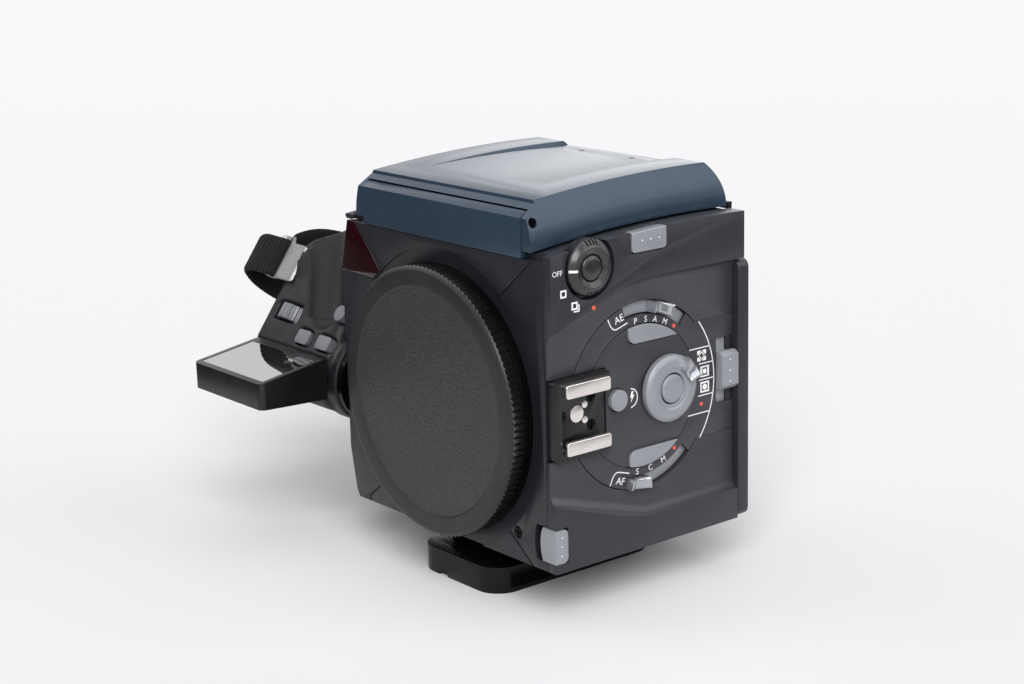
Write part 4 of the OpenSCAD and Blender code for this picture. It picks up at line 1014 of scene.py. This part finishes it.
# Metering scale: an arc, and level lines to it that start at (y, z)
SCALE_R, SCALE_A, SCALE_PEN, SCALE_LINE_PEN = 28.7, (-37.1, 37.9), 0.34, 0.3
SCALE_LINES = ((53.3, 54.4), (57.2, 49.6), (57.2, 44.7), (56.8, 40.0), (52.7, 34.8))
ICON_W, ICON_H, ICON_PEN = 3.5, 3.2, 0.3
CENTRE_ICON, SPOT_ICON, MATRIX_ICON = (59.5, 47.1), (59.5, 42.4), (58.3, 52.0)


def metering_scale():
    """Arc and lines of the metering scale"""
    lines = [ring_arc(DISC_Y, DISC_Z, SCALE_R, *SCALE_A, SCALE_PEN)]
    for y, z in SCALE_LINES:
        end = DISC_Y + math.sqrt(SCALE_R ** 2 - (z - DISC_Z) ** 2)
        lines.append(stroke([(y, z), (end, z)], SCALE_LINE_PEN))
    flat_print("mark_metering_scale", lines)


def centre_icon(y, z):
    """Frame with a spot between two bent lines"""
    bar, spot_r = 0.4, 0.75
    bend = ((0.95, 0.95), (1.3, 0), (0.95, -0.95))
    sides = [stroke([(y + s * dy, z + dz) for dy, dz in bend], ICON_PEN) for s in (-1, 1)]
    return box_frame(y, z, ICON_W, ICON_H, bar) + [dot(y, z, spot_r)] + sides


def spot_icon(y, z):
    """Frame with a spot"""
    bar, spot_r = 0.5, 0.9
    return box_frame(y, z, ICON_W, ICON_H, bar) + [dot(y, z, spot_r)]


def matrix_icon(y, z):
    """Diamond between four filled corners"""
    reach, gap, foot = 1.1, 0.35, 0.4
    points = [(y, z + reach), (y + reach, z), (y, z - reach), (y - reach, z)]
    sides = [stroke([a, b], ICON_PEN) for a, b in zip(points, points[1:] + points[:1])]
    w, h = ICON_W / 2, ICON_H / 2
    corner = ((w, h), (gap, h), (gap, h - gap), (w - foot, gap), (w, gap))
    corners = [[(y + sy * dy, z + sz * dz) for dy, dz in corner] for sy in (-1, 1) for sz in (-1, 1)]
    return sides + corners


def metering_icons():
    """One icon for each way of metering"""
    icons = centre_icon(*CENTRE_ICON) + spot_icon(*SPOT_ICON) + matrix_icon(*MATRIX_ICON)
    flat_print("mark_metering_icons", icons)


# Red dots and the flash sign
RED_DOT_R, RED_DOT_LANE, RED_DOT_A, RED_DOT_SCALE = 0.6, 22.2, (54.8, -55.2), (58.1, 37.5)
BOLT_Y, BOLT_Z = 30.9, 45.0
BOLT_RING, BOLT_RING_A, BOLT_PEN = (30.2, 44.7, 2.75), (-84, 84), 0.32
BOLT = ((-0.2, 1.6), (0.7, 1.6), (0.2, 0.5), (0.9, 0.5), (-0.5, -1.7), (-0.1, -0.2), (-0.7, -0.2))


def red_dots():
    """A dot beside each lever and one on the metering scale"""
    places = [polar(a, RED_DOT_LANE) for a in RED_DOT_A] + [RED_DOT_SCALE]
    flat_print("mark_red_dots", [dot(y, z, RED_DOT_R) for y, z in places], finish="red_print")


def flash_sign():
    """Bolt, and a half circle round it"""
    bolt = [(BOLT_Y + y, BOLT_Z + z) for y, z in BOLT]
    flat_print("mark_flash", [bolt, ring_arc(*BOLT_RING, *BOLT_RING_A, BOLT_PEN)])


lever_marks()
metering_scale()
metering_icons()
red_dots()
flash_sign()

# Marks round the drive dial: places (y, z), and bars as y, z, width and height
OFF_AT, OFF_SIZE = (2.4, 85.2), 2.1
FRAME_PLACES, FRAME_W, FRAME_BAR = ((4.4, 79.4), (8.3, 75.5)), 2.2, 0.5
SECOND_FRAME_BARS = ((9.85, 74.75, 0.4, 2.1), (8.8, 73.9, 1.7, 0.4))
DRIVE_DOT, DRIVE_DOT_R = (15.2, 73.85), 0.65


def dial_marks():
    """Off, one frame, several frames and a red dot"""
    print_text("mark_off", "OFF", *OFF_AT, OFF_SIZE, 0, x=SIDE_X)
    bars = []
    for place in FRAME_PLACES:
        bars += box_frame(*place, FRAME_W, FRAME_W, FRAME_BAR)
    bars += [box_loop(*bar) for bar in SECOND_FRAME_BARS]
    flat_print("mark_drive_frames", bars, x=SIDE_X)
    flat_print("mark_drive_dot", [dot(*DRIVE_DOT, DRIVE_DOT_R)], x=SIDE_X, finish="red_print")


dial_marks()

# Small raised dots on the touch pieces: the body that they ride on, and their places on the camera body
DOT_R = 0.24
TOUCH_DOTS = (
    ("hood_release_dots", "hood_push", [(50.0, y, 90.1) for y in (33.0, 36.2, 39.4)]),
    ("latch_dots", "latch", [(49.7, 67.6, z) for z in (43.0, 46.3, 49.6)]),
    ("lens_release_dots", "lens_push", [(49.75, y, z) for y, z in ((2.1, 10.6), (1.9, 7.9), (1.8, 5.2))]),
)


def touch_dots(name, body, places):
    """White dots, half sunk in the piece that they mark"""
    bpy.ops.object.select_all(action="DESELECT")
    dots = []
    for place in places:
        spot = at(*place)
        bpy.ops.mesh.primitive_uv_sphere_add(segments=12, ring_count=8, radius=DOT_R * MM, location=spot)
        dots.append(bpy.context.object)
    obj = join(*dots)
    obj.name = name
    bpy.ops.object.transform_apply(location=True, rotation=True, scale=True)
    shade(obj, angle=60)
    add_piece(obj, body, "white_print")


for name, body, places in TOUCH_DOTS:
    touch_dots(name, body, places)

# Studio: sizes in metres
FLOOR_SIZE, FLOOR_SPAN = 40.0, (-0.5, 2.0)
# Floor tones near and far from the camera: a painted light falloff, darker near the camera
FLOOR_NEAR_SHADE, FLOOR_FAR_LIT = (0.910, 0.903, 0.928), (0.955, 0.952, 0.966)
SKY, SKY_LIGHT, SKY_SEEN = (0.98, 0.98, 1.0), 0.03, 1.0

# Soft lamps: the way to each, its spread in degrees and its power
LAMPS = (
    ("front_softbox", (0.78, -0.60, 0.72), 44, 2.90),
    ("top_softbox", (0.0, 0.0, 1.0), 56, 0.66),
    ("left_softbox", (-0.85, -0.6, 0.8), 50, 0.42),
    ("rear_softbox", (-0.50, 0.82, 0.3), 44, 0.34),
    ("right_softbox", (0.85, 0.62, 0.62), 44, 0.60),
)

# Dark cards that end the white table: heading, near edge, far edge and height
CARDS = (
    ("dark_card_left", (-0.78, -0.626), 0.26, 0.85, 0.30),
    ("dark_card_right", (0.78, 0.626), 0.36, 0.90, 0.12),
)
CARD_LIFT, CARD_W = 0.002, 1.8


def pale_floor():
    """White table with a painted light falloff: lighter far from the camera, darker near it"""
    mat = bpy.data.materials.new("pale_floor")
    mat.use_nodes = True
    tree = mat.node_tree
    shader = tree.nodes["Principled BSDF"]
    place = tree.nodes.new("ShaderNodeTexCoord")
    split = tree.nodes.new("ShaderNodeSeparateXYZ")
    tree.links.new(place.outputs["Object"], split.inputs["Vector"])
    away = tree.nodes.new("ShaderNodeMath")
    away.operation = "SUBTRACT"
    tree.links.new(split.outputs["Y"], away.inputs[0])
    tree.links.new(split.outputs["X"], away.inputs[1])
    span = tree.nodes.new("ShaderNodeMapRange")
    set_sockets(span, {"From Min": FLOOR_SPAN[0], "From Max": FLOOR_SPAN[1]})
    tree.links.new(away.outputs["Value"], span.inputs["Value"])
    tone = tree.nodes.new("ShaderNodeValToRGB")
    for stop, colour in zip(tone.color_ramp.elements, (FLOOR_NEAR_SHADE, FLOOR_FAR_LIT)):
        stop.color = (*colour, 1)
    tree.links.new(span.outputs["Result"], tone.inputs["Fac"])
    tree.links.new(tone.outputs["Color"], shader.inputs["Base Color"])
    set_sockets(shader, {"Roughness": 0.9, "Specular IOR Level": 0.0})
    return mat


def studio_floor():
    """Level floor under the object"""
    bpy.ops.object.select_all(action="DESELECT")
    bpy.ops.mesh.primitive_plane_add(size=FLOOR_SIZE, location=(0, 0, 0))
    floor = bpy.context.object
    floor.name = "studio_floor"
    floor.data.materials.append(pale_floor())


def larger(tree, first, second):
    """Output of a node that gives the larger of two values"""
    node = tree.nodes.new("ShaderNodeMath")
    node.operation = "MAXIMUM"
    tree.links.new(first, node.inputs[0])
    tree.links.new(second, node.inputs[1])
    return node.outputs["Value"]


def studio_world():
    """White to the camera, in mirrors and through glass, and nearly no light on the object"""
    world = bpy.data.worlds.new("studio_world")
    scene.world = world
    world.use_nodes = True
    tree = world.node_tree
    back = tree.nodes["Background"]
    back.inputs["Color"].default_value = (*SKY, 1)
    path = tree.nodes.new("ShaderNodeLightPath")
    seen = larger(tree, path.outputs["Is Camera Ray"], path.outputs["Is Glossy Ray"])
    seen = larger(tree, seen, path.outputs["Is Transmission Ray"])
    level = tree.nodes.new("ShaderNodeMapRange")
    set_sockets(level, {"To Min": SKY_LIGHT, "To Max": SKY_SEEN})
    tree.links.new(seen, level.inputs["Value"])
    tree.links.new(level.outputs["Result"], back.inputs["Strength"])


def soft_lamp(name, way, spread, power):
    """Distant lamp with soft shadows"""
    lamp = bpy.data.lights.new(name, "SUN")
    lamp.angle = math.radians(spread)
    lamp.energy = power
    obj = bpy.data.objects.new(name, lamp)
    scene.collection.objects.link(obj)
    obj.rotation_euler = (-Vector(way)).to_track_quat("-Z", "Y").to_euler()


def dark_card(name, heading, near, far, height):
    """Sheet that lies on the floor from near to far, then stands up, seen in reflections only"""
    ahead = Vector((*heading, 0)).normalized()
    side = Vector((-ahead.y, ahead.x, 0)) * CARD_W / 2
    line = ((near, CARD_LIFT), (far, CARD_LIFT), (far, height))
    points = [ahead * d + Vector((0, 0, z)) + s * side for d, z in line for s in (-1, 1)]
    card = from_points(name, points, grid_faces(len(line) - 1, 1))
    card.visible_camera = False
    card.visible_diffuse = False
    card.visible_shadow = False
    card.data.materials.append(FINISH["dark_seal"])


# Camera of the photograph: place in metres, view direction, level right, roll in degrees, lens in millimetres
CAMERA_AT = (0.455008, -0.373433, 0.217187)
CAMERA_WAY = (-0.75583, 0.60698, -0.24558)
CAMERA_RIGHT = (0.62615, 0.77970, 0.0)
CAMERA_ROLL, CAMERA_LENS, CAMERA_SENSOR, CAMERA_NEAR = 1.548, 71.104, 36.0, 0.01


def photo_camera():
    """Camera that sees the object as the photograph does"""
    cam = bpy.data.cameras.new("photo_camera")
    cam.sensor_fit = "HORIZONTAL"
    cam.sensor_width = CAMERA_SENSOR
    cam.lens = CAMERA_LENS
    cam.clip_start = CAMERA_NEAR
    obj = bpy.data.objects.new("photo_camera", cam)
    scene.collection.objects.link(obj)
    forward = Vector(CAMERA_WAY).normalized()
    level = Vector(CAMERA_RIGHT).normalized()
    plumb = forward.cross(level)
    roll = math.radians(CAMERA_ROLL)
    right = math.cos(roll) * level + math.sin(roll) * plumb
    down = -math.sin(roll) * level + math.cos(roll) * plumb
    turn = Matrix((right, -down, -forward)).transposed()
    obj.matrix_world = Matrix.Translation(CAMERA_AT) @ turn.to_4x4()
    scene.camera = obj


studio_floor()
studio_world()
for name, way, spread, power in LAMPS:
    soft_lamp(name, way, spread, power)
for name, heading, near, far, height in CARDS:
    dark_card(name, heading, near, far, height)
photo_camera()
scene.view_settings.view_transform = "Standard"
